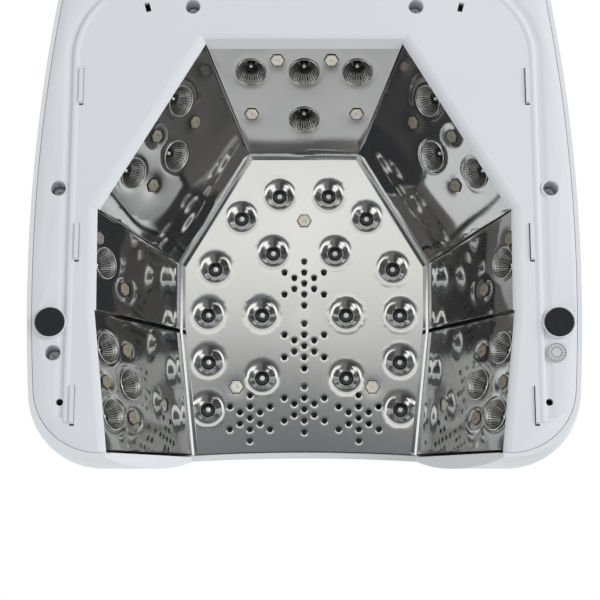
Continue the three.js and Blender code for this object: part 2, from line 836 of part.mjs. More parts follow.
// Places on the ceiling, across as a share of half its width at the side corners, and along as a share
// of its length from the rear edge
const ledShares = [
  [0.2, 0.149], [0.509, 0.225], [0.251, 0.343], [0.719, 0.397], [0.772, 0.55],
  [0.338, 0.55], [0.767, 0.706], [0.336, 0.758], [0.767, 0.861],
];
const rivetShares = [[0, 0.237], [0.543, 0.791], [-0.543, 0.791]];
const ventShares = [[0, 0.45], [0, 0.658], [0, 0.864], [0.431, 0.892], [-0.431, 0.892]];

function placesOnCeiling(shares) {
  const section = cavitySection(ceilingHeight, 0, 0);
  const [mouth, , widest, rear] = section;
  return shares.map(([across, along]) => [across * widest.x, rear.y - along * (rear.y - mouth.y)]);
}

const ledPlaces = placesOnCeiling(ledShares);
const ceilingRivets = placesOnCeiling(rivetShares);
const ventStars = placesOnCeiling(ventShares);

function ceilingOutline(inset, frontBack = 0) {
  const section = cavitySection(ceilingHeight, wallSetback - rimClearance, 0);
  const shrunk = offsetPolygon(section, [...wallNames.map(() => -inset), 0]);
  const lean = 1 - Math.cos(lipAngle());
  const half = shrunk[0].x;
  const front = [];
  for (let k = 1; k < 6; k += 1) {
    const x = -half + (2 * half * k) / 6;
    front.push(new THREE.Vector2(x, frontLine(x, lean, archLipDepth + gap + frontBack)));
  }
  const y = frontLine(half, lean, archLipDepth + gap + frontBack);
  const sides = shrunk.slice(1, -1);
  return [new THREE.Vector2(half, y), ...sides, new THREE.Vector2(-half, y), ...front];
}

function ceilingBlank() {
  const rings = [];
  const steps = [0, 35, 90].map(degrees);
  for (const angle of steps) {
    const inset = rimRadius * (1 - Math.sin(angle));
    rings.push({ points: ceilingOutline(inset), z: ceilingHeight + rimRadius * (1 - Math.cos(angle)) });
  }
  const top = ceilingHeight + rimRadius + rimUpstand;
  rings.push({ points: ceilingOutline(0), z: top });
  rings.push({ points: ceilingOutline(ceilingSheet), z: top });
  const innerRadius = rimRadius - ceilingSheet;
  for (const angle of [90, 35, 0].map(degrees)) {
    const inset = ceilingSheet + innerRadius * (1 - Math.sin(angle));
    const z = ceilingHeight + ceilingSheet + innerRadius * (1 - Math.cos(angle));
    rings.push({ points: ceilingOutline(inset), z });
  }
  return solid(loft(rings));
}

function dishOutside(x, y) {
  const top = ceilingHeight + ceilingSheet;
  const back = top + dishDepth;
  const profile = [
    [0, top - 0.4], [dishRadius + 0.1, top - 0.4], [lensHoleRadius + 1.4, back], [0, back],
  ];
  return solid(turned(profile, dishSides).translate(x, y, 0));
}

function dishInside(x, y) {
  const face = ceilingHeight;
  const profile = [
    [0, face - 1], [dishRadius, face - 1], [dishRadius, face], [dishRadius - 2, face + dishDepth - 0.9],
    [lensHoleRadius, face + dishDepth], [lensHoleRadius, face + dishDepth + 2], [0, face + dishDepth + 2],
  ];
  return solid(turned(profile, dishSides).translate(x, y, 0));
}

function ventHoles() {
  const [low, high] = [ceilingHeight - 1, ceilingHeight + ceilingSheet + 1];
  const holes = [];
  for (const [x, y] of ventStars) {
    holes.push(column(ventRadius, low, high, x, y, 6));
    for (let arm = 0; arm < 6; arm += 1) {
      for (const step of [1, 2]) {
        const angle = degrees(90 + 60 * arm);
        const reach = step * ventPitch;
        const [dx, dy] = [reach * Math.cos(angle), reach * Math.sin(angle)];
        holes.push(column(ventRadius, low, high, x + dx, y + dy, 6));
      }
    }
  }
  return join(holes);
}

// The rolled edge stops short of the front, where the sheet ends flat behind the casing's lip
function frontTrim() {
  const low = ceilingHeight + ceilingSheet;
  const middle = lipInside(low) + 3 * rimRadius - overallDepth / 2;
  return box(overallWidth, overallDepth, overallHeight, 0, middle, low + overallHeight / 2);
}

function makeCeilingReflector() {
  let plate = ceilingBlank().subtract(frontTrim());
  const places = mirroredPlaces(ledPlaces);
  plate = plate.add(join(places.map(([x, y]) => dishOutside(x, y))));
  plate = plate.subtract(join(places.map(([x, y]) => dishInside(x, y))));
  plate = plate.subtract(ventHoles());
  for (const [x, y] of ceilingRivets) {
    const holeTop = ceilingHeight + 2 * ceilingSheet;
    plate = plate.subtract(column(rivetHoleRadius, ceilingHeight - 1, holeTop, x, y, 6));
  }
  addMesh('ceiling_reflector', toGeometry(plate), 'satin_steel');
}

// A lens on a board: a short stem with a dome, pointing along -Z from z = 0
function lens(radius, length) {
  const shoulder = -length + radius * 0.5;
  return turned([[0, -length], [radius * 0.9, shoulder], [radius, 0.5], [0, 0.5]], 6);
}

// A hexagonal rivet on a board: shank, then a head that holds the sheet
function rivet(headTop, headBottom, x, y) {
  const head = prism(hexagon(rivetRadius, x, y), headBottom, headTop);
  return head.add(column(rivetShank, headTop - 0.5, 0.5, x, y, 6));
}

// Windows in the board over the vents; those of the front row run out through its front edge
function ventWindows() {
  const windows = ventStars.map(([x, y]) => {
    return column(ventWindowRadius, -1, boardThickness + 1, x, y, 10);
  });
  const [, , [, frontRow], [sideStar]] = ventStars;
  const width = 2 * (sideStar + ventWindowRadius);
  const notch = box(width, overallDepth, 4 * boardThickness, 0, frontRow - overallDepth / 2, 0);
  return join([...windows, notch]);
}

function makeCeilingBoard() {
  const low = ceilingHeight + ceilingSheet + ceilingBoardLift;
  const inset = rimRadius + boardRimInset;
  const frontBack = boardRimInset + frontLean(low + boardThickness) - frontLean(ceilingHeight);
  let board = prism(polygonShape(ceilingOutline(inset, frontBack)), 0, boardThickness);
  board = board.subtract(ventWindows());
  const lensLength = low - ceilingHeight - lensRecess;
  for (const [x, y] of mirroredPlaces(ledPlaces)) {
    board = board.add(solid(lens(lensRadius, lensLength).translate(x, y, 0)));
  }
  const headTop = ceilingHeight - gap - low;
  for (const [x, y] of ceilingRivets) {
    board = board.add(rivet(headTop, headTop - rivetHeight, x, y));
  }
  addMesh('ceiling_led_board', toGeometry(board), 'white_board').position.z = low;
}

// Wall reflectors, cups and boards

const boardDepth = wallSetback + cupDepth + gap;

function wallHeights() {
  return { low: baseHeight + collarSheet + gap, high: ceilingHeight + rimRadius / 2 };
}

function makeWallReflector(i) {
  const { low, high } = wallHeights();
  const shape = polygonShape(wallOutline(i, wallSetback, low, high, wallSeam));
  for (const [x, y] of placesOnWall(i, 'cups')) {
    shape.holes.push(new THREE.Path().absarc(x, y, cupHoleRadius + gap, 0, 2 * Math.PI, true));
  }
  for (const [x, y] of placesOnWall(i, 'rivets')) {
    shape.holes.push(hexagon(rivetHoleRadius, x, y));
  }
  const sheet = prism(shape, wallSetback, wallSetback + wallSheet, 5);
  const mesh = addMesh(`${wallLabels[i]}_reflector`, toGeometry(sheet), 'mirror_steel');
  mesh.applyMatrix4(wallFrame(i));
}

// A faceted cup: rim in front of the sheet, cone through it, open at both ends
function cupGeometry() {
  const front = -cupSeat - cupWall;
  const back = cupDepth;
  const profile = [
    [cupRadius, front], [cupRadius, -cupSeat], [cupHoleRadius, -cupSeat], [cupFloorRadius, back],
    [cupBoreRadius, back], [cupHoleRadius - cupWall, front], [cupRadius, front],
  ];
  return turned(profile, 10);
}

function makeCups(i) {
  placesOnWall(i, 'cups').forEach(([x, y], k) => {
    const cup = solid(cupGeometry());
    const mesh = addMesh(`${wallLabels[i]}_cup_${k + 1}`, toGeometry(cup), 'chrome_cup');
    mesh.position.set(x, y, wallSetback);
    mesh.applyMatrix4(wallFrame(i));
  });
}

function makeWallBoard(i) {
  const { boardTop } = wallFeatures[wallNames[i]];
  const { low } = wallHeights();
  const high = baseHeight + boardTop * cavityHeight;
  const outline = wallOutline(i, wallSetback, low + 1, high, boardSeam);
  let board = prism(polygonShape(outline), 0, boardThickness);
  const lensLength = 2 * cupLensRadius;
  for (const [x, y] of placesOnWall(i, 'cups')) {
    board = board.add(solid(lens(cupLensRadius, lensLength).translate(x, y, 0)));
  }
  const headTop = wallSetback - cupSeat - boardDepth;
  for (const [x, y] of placesOnWall(i, 'rivets')) {
    board = board.add(rivet(headTop, headTop - rivetHeight, x, y));
  }
  const mesh = addMesh(`${wallLabels[i]}_led_board`, toGeometry(board), 'white_board');
  mesh.position.z = boardDepth;
  mesh.applyMatrix4(wallFrame(i));
}

// Feet, seal and case screws

function makeFeet() {
  const names = ['front_right', 'front_left', 'rear_right', 'rear_left'];
  mirroredPlaces(footPlaces).forEach(([x, y], i) => {
    const profile = [
      [0, 0], [footRadius - 0.5, 0], [footRadius, 0.5], [footRadius, footThickness], [0, footThickness],
    ];
    const mesh = addMesh(`foot_${names[i]}`, toGeometry(solid(turned(profile, 14))), 'black_rubber');
    mesh.position.set(x, y, 0);
  });
}

function makeSeal() {
  const [x, y] = screwPlaces[2];
  const disc = turned([[0, 0], [sealRadius, 0], [sealRadius, sealThickness], [0, sealThickness]], 16);
  const mesh = addMesh('seal_disc', toGeometry(solid(disc)), 'silver_foil');
  mesh.position.set(-x, y, baseHeight - gap - sealThickness);
}

function makeScrews() {
  mirroredPlaces(screwPlaces).forEach(([x, y], i) => {
    const seat = wellTop - wellFloor - gap;
    const head = seat - screwHeadHeight;
    const profile = [
      [0, head], [screwHeadRadius - 0.6, head], [screwHeadRadius, head + 0.7], [screwHeadRadius, seat],
      [screwShank, seat], [screwShank, seat + screwLength], [0, seat + screwLength],
    ];
    const screw = solid(turned(profile, 10));
    addMesh(`case_screw_${i + 1}`, toGeometry(screw), 'nickel_metal').position.set(x, y, 0);
  });
}

// Deck controls

function makeButtons() {
  const boardTop = controlBoardTop();
  const low = boardTop + buttonTravel + gap;
  const flangeTop = roofUnderside - gap;
  const flangeRadius = buttonRadius + buttonFlange;
  const top = overallHeight + buttonProud;
  const profile = [
    [0, low], [2, low], [2, flangeTop - 1.2], [flangeRadius, flangeTop - 1.2], [flangeRadius, flangeTop],
    [buttonRadius, flangeTop], [buttonRadius, top - 0.5], [buttonRadius - 0.6, top], [0, top - 0.4],
  ];
  buttonPlaces().forEach(([x, y], i) => {
    const mesh = addMesh(`timer_button_${i + 1}`, toGeometry(solid(turned(profile, 14))), 'white_button');
    mesh.position.set(x, y, 0);
  });
}

function makeDisplay() {
  const shape = roundedRectangle(displayWidth, displayDepth, displayCorner);
  const low = overallHeight - displayThickness;
  const window = prism(shape, low, overallHeight, 4).translate([0, displayRow, 0]);
  addMesh('display_window', toGeometry(window), 'smoked_window');
}

function makeControlBoard() {
  const top = controlBoardTop();
  const middle = controlRow();
  const low = top - boardThickness;
  let board = box(controlBoardWidth, controlBoardDepth, boardThickness, 0, middle, (low + top) / 2);
  for (const { width, depth, height, x, y } of [processor, relay]) {
    const z = low + (boardThickness - height) / 2;
    board = board.add(box(width, depth, height + boardThickness, x, middle + y, z));
  }
  addMesh('control_board', toGeometry(board), 'green_board');
}

// Rear connections

function makeSwitchHousing() {
  const bezelWidth = switchWidth + 2 * switchBezel;
  const bezelHeight = switchHeight + 2 * switchBezel;
  const front = gap + flangeThickness;
  let housing = box(switchWidth, switchDepth + front, switchHeight, 0, (front - switchDepth) / 2, 0);
  housing = housing.add(box(bezelWidth, flangeThickness, bezelHeight, 0, gap + flangeThickness / 2, 0));
  const boreDepth = switchDepth - switchShell;
  const bore = box(
    switchWidth - 2 * switchShell, boreDepth + 2 * front, switchHeight - 2 * switchShell,
    0, front - boreDepth / 2, 0,
  );
  const mesh = addMesh('switch_housing', toGeometry(housing.subtract(bore)), 'black_plastic');
  mesh.position.set(switchPlace, rearPadFace, rearPadMiddle);
}

// Rocker: a shallow V that tips about its middle; at rest its lower half is pressed in
function makePowerSwitch() {
  const halfHeight = switchHeight / 2 - switchShell - 2 * gap;
  const halfWidth = switchWidth / 2 - switchShell - gap;
  const root = -switchCrown;
  const tip = switchCrown + halfHeight * Math.tan(degrees(switchTilt));
  const shape = polygonShape([
    new THREE.Vector2(-halfHeight, root),
    new THREE.Vector2(halfHeight, root),
    new THREE.Vector2(halfHeight, tip),
    new THREE.Vector2(0, switchCrown),
    new THREE.Vector2(-halfHeight, tip),
  ]);
  const upright = toGeometry(prism(shape, -halfWidth, halfWidth)).rotateY(Math.PI / 2);
  const mesh = addMesh('power_switch', upright, 'black_plastic');
  mesh.rotation.x = -degrees(switchTilt);
  mesh.position.set(switchPlace, rearPadFace - 1, rearPadMiddle);
}

function makeSocket() {
  const front = gap + flangeThickness;
  const profile = [
    [0, -socketLength], [socketRadius, -socketLength], [socketRadius, gap], [socketFlange, gap],
    [socketFlange, front], [socketBore, front], [socketBore, -socketLength + 2],
    [socketPin, -socketLength + 2], [socketPin, -1], [0, -0.5],
  ];
  const socket = solid(turned(profile, 12).rotateX(-Math.PI / 2));
  const mesh = addMesh('charging_socket', toGeometry(socket), 'black_plastic');
  mesh.position.set(socketPlace, rearPadFace, rearPadMiddle);
}

// Battery pack and its tray, standing on the ceiling board

function trayFloor() {
  return ceilingHeight + ceilingSheet + ceilingBoardLift + boardThickness + gap + trayLegHeight;
}

function makeBatteryTray() {
  const width = 2 * (cellRadius * cellCount + trayMargin);
  const depth = cellLength + 2 * trayMargin;
  const low = trayFloor();
  const rimPlace = (width - trayThickness) / 2;
  let tray = box(width, depth, trayThickness, 0, batteryRow, low + trayThickness / 2);
  for (const side of [1, -1]) {
    const rimMiddle = low + trayRimHeight / 2;
    tray = tray.add(box(trayThickness, depth, trayRimHeight, side * rimPlace, batteryRow, rimMiddle));
    for (const end of [1, -1]) {
      const y = batteryRow + end * (depth / 2 - trayLegInset);
      tray = tray.add(column(trayLegRadius, low - trayLegHeight, low + 0.5, side * trayLegPlace, y, 8));
    }
  }
  addMesh('battery_tray', toGeometry(tray), 'grey_tray');
}

function makeBatteryPack() {
  const cells = [];
  for (let k = 0; k < cellCount; k += 1) {
    const x = (k - (cellCount - 1) / 2) * 2 * cellRadius;
    cells.push(column(cellRadius, 0, cellLength, x, 0, 12));
  }
  const span = 2 * cellRadius * (cellCount - 1);
  cells.push(box(span, 1.5 * cellRadius, cellLength, 0, 0, cellLength / 2));
  const pack = alongY(join(cells));
  const z = trayFloor() + trayThickness + gap + cellRadius;
  const mesh = addMesh('battery_pack', toGeometry(pack), 'blue_wrap');
  mesh.position.set(0, batteryRow - cellLength / 2, z);
}

makeTopCover();
makeBaseFrame();
makeCeilingReflector();
makeCeilingBoard();
wallLabels.forEach((_, i) => {
  makeWallReflector(i);
  makeCups(i);
  makeWallBoard(i);
});
makeFeet();
makeSeal();
makeScrews();
makeButtons();
makeDisplay();
makeControlBoard();
makeSwitchHousing();
makePowerSwitch();
makeSocket();
makeBatteryTray();
makeBatteryPack();

export default lamp;
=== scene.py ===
import math
import random

import bmesh
import bpy
from mathutils import Matrix, Vector
from mathutils.geometry import delaunay_2d_cdt


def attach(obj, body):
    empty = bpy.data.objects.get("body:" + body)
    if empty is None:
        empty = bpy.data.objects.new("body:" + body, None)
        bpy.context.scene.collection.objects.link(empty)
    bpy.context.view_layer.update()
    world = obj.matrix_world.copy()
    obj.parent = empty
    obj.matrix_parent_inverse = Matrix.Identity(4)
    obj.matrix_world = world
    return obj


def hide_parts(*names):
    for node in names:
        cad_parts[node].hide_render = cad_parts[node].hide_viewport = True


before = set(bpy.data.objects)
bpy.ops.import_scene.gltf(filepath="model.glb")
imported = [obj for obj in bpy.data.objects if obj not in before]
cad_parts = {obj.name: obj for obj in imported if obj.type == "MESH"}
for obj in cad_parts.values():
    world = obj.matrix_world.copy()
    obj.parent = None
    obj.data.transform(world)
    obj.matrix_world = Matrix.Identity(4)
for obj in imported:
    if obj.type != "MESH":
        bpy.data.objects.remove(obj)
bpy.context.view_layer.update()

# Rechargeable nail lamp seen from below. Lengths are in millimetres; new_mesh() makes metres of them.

MM = 0.001
dice = random.Random(7)

# Casing: half its size, and its height; its wall, how far its lower edge is drawn in, where the dome starts;
# where along the lamp it is widest, and the radius of its bowed sides; radii of its corners; how far the
# dome's top lies inside its outline; then the lip over the hand opening, hollowed between two points
HALF_WIDTH, HALF_DEPTH, HEIGHT = 116.0, 113.0, 95.0
WALL, BOTTOM_INSET, BULGE = 2.0, 1.1, 14.0
WIDEST, SIDE_BOW = -29.0, 776.0
FRONT_CORNER, REAR_CORNER = 29.0, 24.0
SIDE_SHOULDER, FRONT_SHOULDER, REAR_SHOULDER = 58.0, 71.0, 58.0
LIP_DEPTH, LIP_HEIGHT, HOLLOW, HOLLOW_HALF = 2.0, 6.0, 2.1, 58.0
# Heights of the underside, the ceiling and the base plate's top; the reflectors' thickness; the clearance
BASE, CEILING, PLATE_TOP, SHEET, GAP = 2.0, 50.0, 4.4, 0.8, 0.3

# Cavity: the kinds of its seven walls, right front one first, and how far each leans inward
WALL_KINDS = ["front", "side", "diagonal", "back", "diagonal", "side", "front"]
LABELS = ["front_right", "side_right", "diagonal_right", "back", "diagonal_left", "side_left", "front_left"]
LEANS = [math.radians({"front": 34.6, "side": 34.5, "diagonal": 35.2, "back": 35.9}[k]) for k in WALL_KINDS]

# Cups and rivets on each kind of wall: along it from the middle of its lower edge, and up its slope
CUPS = {
    "back": [(-23.2, 18.2), (0, 18.2), (23.2, 18.2), (0, 43)],
    "diagonal": [(-17, 9.3), (2, 24), (21.2, 8.8)],
    "side": [(0, 8.8)],
    "front": [(-14.9, 8.8), (-0.9, 22), (13.4, 8.8)],
}
RIVETS = {
    "back": [(-11.7, 12.1), (11.7, 12.1), (-23.2, 40), (23.2, 40)],
    "diagonal": [(-15, 23.1), (2, 8.8), (19, 22)],
    "side": [(-9.9, 4.6), (8.6, 21.5)],
    "front": [(-15.3, 21.3), (0.1, 6.1), (13.5, 21.5)],
}
CEILING_LEDS = [(10.9, 15.2), (27.7, 4.8), (13.65, -11.2), (39.1, -18.5), (42, -39.4), (18.4, -39.4),
                (41.7, -60.6), (18.3, -67.7), (41.7, -81.7)]
CEILING_RIVETS = [(0, 3.2), (29.55, -72.1), (-29.55, -72.1)]
VENT_STARS = [(0, -25.8), (0, -54), (0, -82.1), (23.45, -85.9), (-23.45, -85.9)]


# Meshes

def new_object(name, data):
    piece = bpy.data.objects.new(name, data)
    bpy.context.collection.objects.link(piece)
    return piece


def new_mesh(name, vertices, faces, sharp=32.0):
    """A smooth-shaded piece from millimetre points. Edges that turn more than `sharp` degrees stay crisp."""
    mesh = bpy.data.meshes.new(name)
    mesh.from_pydata([Vector(v) * MM for v in vertices], [], faces)
    mesh.update()
    piece = new_object(name, mesh)
    shade(piece, sharp)
    return piece


def shade(piece, sharp=32.0):
    piece.data.shade_smooth()
    piece.data.set_sharp_from_angle(angle=math.radians(sharp))


def clean(piece, distance=0.002):
    """Welds points that fall together and turns every face outward."""
    work = bmesh.new()
    work.from_mesh(piece.data)
    bmesh.ops.remove_doubles(work, verts=work.verts, dist=distance * MM)
    bmesh.ops.recalc_face_normals(work, faces=work.faces)
    work.to_mesh(piece.data)
    work.free()


def apply_modifiers(piece):
    """Replaces the piece's mesh by the one its modifiers make."""
    graph = bpy.context.evaluated_depsgraph_get()
    result = bpy.data.meshes.new_from_object(piece.evaluated_get(graph), depsgraph=graph)
    piece.modifiers.clear()
    piece.data = result
    shade(piece)


def combine(target, others, operation):
    """Joins, cuts or keeps the overlap with each of the other solids, which are used up."""
    for other in others:
        step = target.modifiers.new("combine", "BOOLEAN")
        step.operation = operation
        step.solver = "MANIFOLD"
        step.object = other
    apply_modifiers(target)
    for other in others:
        bpy.data.objects.remove(other)
    return target


def paint(piece, finishes, slots):
    """Gives a piece its materials, and each face the slot of its own."""
    for finish in finishes:
        piece.data.materials.append(finish)
    piece.data.polygons.foreach_set("material_index", [int(slot) for slot in slots])


def gather(name, pieces):
    """Several separate shells as one piece, which keeps each shell's materials."""
    vertices, faces, slots, smooth, finishes = [], [], [], [], []
    for piece in pieces:
        start = len(vertices)
        vertices += [piece.matrix_world @ v.co / MM for v in piece.data.vertices]
        for face in piece.data.polygons:
            faces.append([start + v for v in face.vertices])
            finish = piece.data.materials[face.material_index] if piece.data.materials else None
            if finish not in finishes:
                finishes.append(finish)
            slots.append(finishes.index(finish))
            smooth.append(face.use_smooth)
    whole = new_mesh(name, vertices, faces)
    paint(whole, finishes, slots)
    whole.data.polygons.foreach_set("use_smooth", smooth)
    for piece in pieces:
        bpy.data.objects.remove(piece)
    return whole


def level(outline, height):
    return [(x, y, height) for x, y in outline]


def quads(rows, count, ring=True, loop=False):
    """Faces between rows of `count` points. `ring` joins a row's ends, `loop` the last row to the first."""
    faces = []
    for k in range(rows if loop else rows - 1):
        for i in range(count if ring else count - 1):
            a, b, j = k * count, (k + 1) % rows * count, (i + 1) % count
            faces.append([a + i, a + j, b + j, b + i])
    return faces


def loft(name, rings, sharp=32.0):
    """A closed skin through rings with the same number of points, flat at both ends."""
    count, last = len(rings[0]), (len(rings) - 1) * len(rings[0])
    faces = [list(reversed(range(count)))] + quads(len(rings), count) + [list(range(last, last + count))]
    return new_mesh(name, [p for ring in rings for p in ring], faces, sharp)


def circle(x, y, radius, steps):
    return [(x + radius * math.cos(2 * math.pi * i / steps), y + radius * math.sin(2 * math.pi * i / steps))
            for i in range(steps)]


def turned(name, profile, steps=48, x=0.0, y=0.0, sharp=32.0):
    """A solid of revolution about Z from (radius, height) points, counter-clockwise in the r-z plane."""
    vertices, rows = [], []
    for radius, height in profile:
        points = circle(x, y, radius, steps) if radius else [(x, y)]
        rows.append([len(vertices) + i % len(points) for i in range(steps)])
        vertices += level(points, height)
    if profile[0][0] or profile[-1][0]:
        rows.append(rows[0])
    faces = []
    for low, high in zip(rows, rows[1:]):
        for i in range(steps):
            j = (i + 1) % steps
            faces.append(list(dict.fromkeys((low[i], low[j], high[j], high[i]))))
    return new_mesh(name, vertices, faces, sharp)


def prism(name, outline, low, high):
    return loft(name, [level(outline, low), level(outline, high)])


def block(name, size, middle):
    (a, b, c), (x, y, z) = size, middle
    outline = [(x + i * a / 2, y + j * b / 2) for i, j in ((-1, -1), (1, -1), (1, 1), (-1, 1))]
    return prism(name, outline, z - c / 2, z + c / 2)


def column(name, radius, low, high, x, y, steps=32):
    return turned(name, [(0, low), (radius, low), (radius, high), (0, high)], steps, x, y)


def spot_matrix(x, y, z, angle=0.0, axis="X"):
    """Turns by an angle about an axis and then moves, in millimetres."""
    return Matrix.Translation((x, y, z)) @ Matrix.Rotation(angle, 4, axis)


def place(piece, matrix):
    """Moves a piece's points by a matrix in millimetres."""
    scaled = matrix.copy()
    scaled.translation = matrix.translation * MM
    piece.data.transform(scaled)
    return piece


def rounded_rectangle(width, height, radius, steps=8):
    points = []
    for k, (sx, sy) in enumerate([(1, 1), (-1, 1), (-1, -1), (1, -1)]):
        for i in range(steps + 1):
            angle = math.pi / 2 * (k + i / steps)
            points.append((sx * (width / 2 - radius) + radius * math.cos(angle),
                           sy * (height / 2 - radius) + radius * math.sin(angle)))
    return points


def mirrored(places):
    return [(side * x, y) for x, y in places for side in (1, -1)]


def inside(point, loop):
    """Whether a point is inside a closed loop."""
    x, y = point
    result = False
    for (ax, ay), (bx, by) in zip(loop, loop[1:] + loop[:1]):
        if (ay > y) != (by > y) and x < ax + (bx - ax) * (y - ay) / (by - ay):
            result = not result
    return result


def edge_distance(point, loop):
    spot = Vector(point)
    nearest = 1e9
    for a, b in zip(loop, loop[1:] + loop[:1]):
        start, along = Vector(a), Vector(b) - Vector(a)
        share = max(0.0, min(1.0, (spot - start).dot(along) / along.length_squared))
        nearest = min(nearest, (spot - start - along * share).length)
    return nearest


def pressed_sheet(name, outline, holes, spots, pitch, height, thickness):
    """A sheet of even thickness whose front face, seen from -Z, follows height(x, y). Holes are loops, and
    spots are extra places where the surface needs points."""
    loops = [outline] + holes
    points, edges = [], []
    for loop in loops:
        start = len(points)
        points += loop
        edges += [(start + i, start + (i + 1) % len(loop)) for i in range(len(loop))]
    centres = [(sum(x for x, _ in h) / len(h), sum(y for _, y in h) / len(h)) for h in holes]
    reaches = [max(math.dist(c, p) for p in h) for c, h in zip(centres, holes)]
    taken = {}

    def free(spot, room):
        cell = (round(spot[0] / pitch), round(spot[1] / pitch))
        near = [q for a in (-1, 0, 1) for b in (-1, 0, 1) for q in taken.get((cell[0] + a, cell[1] + b), [])]
        return all(math.dist(spot, q) > room for q in near)

    def take(spot, room):
        clear = all(math.dist(spot, c) > r + 0.15 for c, r in zip(centres, reaches))
        if clear and inside(spot, outline) and edge_distance(spot, outline) > 0.4 * room and free(spot, room):
            taken.setdefault((round(spot[0] / pitch), round(spot[1] / pitch)), []).append(spot)
            points.append(spot)

    for spot in spots:
        take(spot, 0.12)
    low = (min(x for x, _ in outline), min(y for _, y in outline))
    high = (max(x for x, _ in outline), max(y for _, y in outline))
    for row in range(int((high[1] - low[1]) / pitch) + 1):
        for step in range(int((high[0] - low[0]) / pitch) + 1):
            take((low[0] + (step + 0.5 * (row % 2)) * pitch, low[1] + row * pitch), 0.7 * pitch)
    flat = delaunay_2d_cdt([Vector(p) for p in points], edges, [], 1, 1e-4)
    places, triangles = [tuple(p) for p in flat[0]], []
    for face in flat[2]:
        middle = [sum(axis) / len(face) for axis in zip(*(places[i] for i in face))]
        in_hole = (math.dist(middle, c) < r and inside(middle, h) for c, r, h in zip(centres, reaches, holes))
        if not any(in_hole):
            triangles.append(list(face))
    count = len(places)
    vertices = [(x, y, height(x, y) + lift) for lift in (0, thickness) for x, y in places]
    sides = [side for face in triangles for side in zip(face, face[1:] + face[:1])]
    shared = set(sides)
    faces = [list(reversed(face)) for face in triangles] + [[i + count for i in face] for face in triangles]
    faces += [[a, b, b + count, a + count] for a, b in sides if (b, a) not in shared]
    return new_mesh(name, vertices, faces)


# Outlines that the casing, the frame and the reflectors share

def dome_lean(height, inset=0.0):
    """How far the dome leans inward at a height, as a share of its shoulders, outside or inside its wall."""
    return 1 - math.cos(math.asin((height - BULGE) / (HEIGHT - BULGE - inset)))


LIP_LEAN = dome_lean(CEILING + SHEET, LIP_DEPTH)
LIP_FOOT = -HALF_DEPTH + LIP_DEPTH + BOTTOM_INSET
LIP_SLOPE = (FRONT_SHOULDER * LIP_LEAN - BOTTOM_INSET) / (CEILING + SHEET - BASE)


def lip_inside(height):
    """The lip's inner surface on the middle plane: one straight slope from the base frame to the ceiling."""
    return LIP_FOOT + LIP_SLOPE * (height - BASE)


def front_line(x, lean, inset):
    ceiling_lean = dome_lean(CEILING)
    across = min(1.0, abs(x) / HOLLOW_HALF)
    hollow = HOLLOW * min(lean, ceiling_lean) * (1 - across * across) / ceiling_lean
    return -HALF_DEPTH + FRONT_SHOULDER * lean + inset + hollow


def arc(centre, radius, start, end, steps):
    return [(centre[0] + radius * math.cos(start + (end - start) * i / steps),
             centre[1] + radius * math.sin(start + (end - start) * i / steps)) for i in range(steps)]


def casing_ring(lean, inset):
    """The casing's outline: straight front and rear, bowed sides and round corners."""
    side_radius = SIDE_BOW - SIDE_SHOULDER * lean - inset
    side = (HALF_WIDTH - SIDE_BOW, WIDEST)
    front_radius, rear_radius = FRONT_CORNER - inset / 2, REAR_CORNER - inset / 2
    fillets = []
    for radius, y in ((front_radius, -HALF_DEPTH + FRONT_SHOULDER * lean + inset + front_radius),
                      (rear_radius, HALF_DEPTH - REAR_SHOULDER * lean - inset - rear_radius)):
        reach = math.sqrt((side_radius - radius) ** 2 - (y - side[1]) ** 2)
        fillets.append((side[0] + reach, y))
    low, high = [math.atan2(y - side[1], x - side[0]) for x, y in fillets]
    half = []
    for i in range(20):
        x = fillets[0][0] * i / 20
        half.append((x, front_line(x, lean, inset)))
    half += arc(fillets[0], front_radius, -math.pi / 2, low, 18)
    half += arc(side, side_radius, low, high, 30)
    half += arc(fillets[1], rear_radius, high, math.pi / 2, 18)
    rear = HALF_DEPTH - REAR_SHOULDER * lean - inset
    half += [(fillets[1][0] * (1 - i / 6), rear) for i in range(7)]
    return half + [(-x, y) for x, y in reversed(half[1:-1])]


def casing_volume(name, wall, floor):
    """The space inside the casing's outer surface, or inside a wall of the given thickness."""
    rings = []
    for share in (0.0, 0.15, 0.4, 0.7):
        inset = BOTTOM_INSET * (1 - share) ** 2
        rings.append(level(casing_ring(0, inset + wall), floor + (BULGE - floor) * share))
    for step in range(37):
        angle = math.radians(90 * step / 36)
        height = BULGE + (HEIGHT - BULGE - wall) * math.sin(angle)
        rings.append(level(casing_ring(1 - math.cos(angle), wall), height))
    return loft(name, rings)


def crossing(a, b):
    (ax, ay), (aux, auy) = a
    (bx, by), (bux, buy) = b
    t = ((bx - ax) * buy - (by - ay) * bux) / (aux * buy - auy * bux)
    return (ax + aux * t, ay + auy * t)


def offset_polygon(points, distances):
    """Moves each edge of a counter-clockwise polygon outward by its own distance."""
    lines = []
    for i, (p, q) in enumerate(zip(points, points[1:] + points[:1])):
        along = Vector((q[0] - p[0], q[1] - p[1])).normalized()
        lines.append(((p[0] + along.y * distances[i], p[1] - along.x * distances[i]), (along.x, along.y)))
    return [crossing(lines[i - 1], lines[i]) for i in range(len(lines))]


MOUTH = lip_inside(BASE) + 0.9
HALF_POLYGON = [(80.7, MOUTH), (87, -50), (87.5, -5.7), (43.1, 70.2)]
BASE_POLYGON = HALF_POLYGON + [(-x, y) for x, y in reversed(HALF_POLYGON)]
WIDE_SEAM = 1.7


def cavity_section(height, grow, mouth_grow=0.0):
    rise = height - BASE
    moves = [grow / math.cos(lean) - rise * math.tan(lean) for lean in LEANS]
    moves.append(mouth_grow - (lip_inside(height) - lip_inside(BASE)))
    return offset_polygon(BASE_POLYGON, moves)


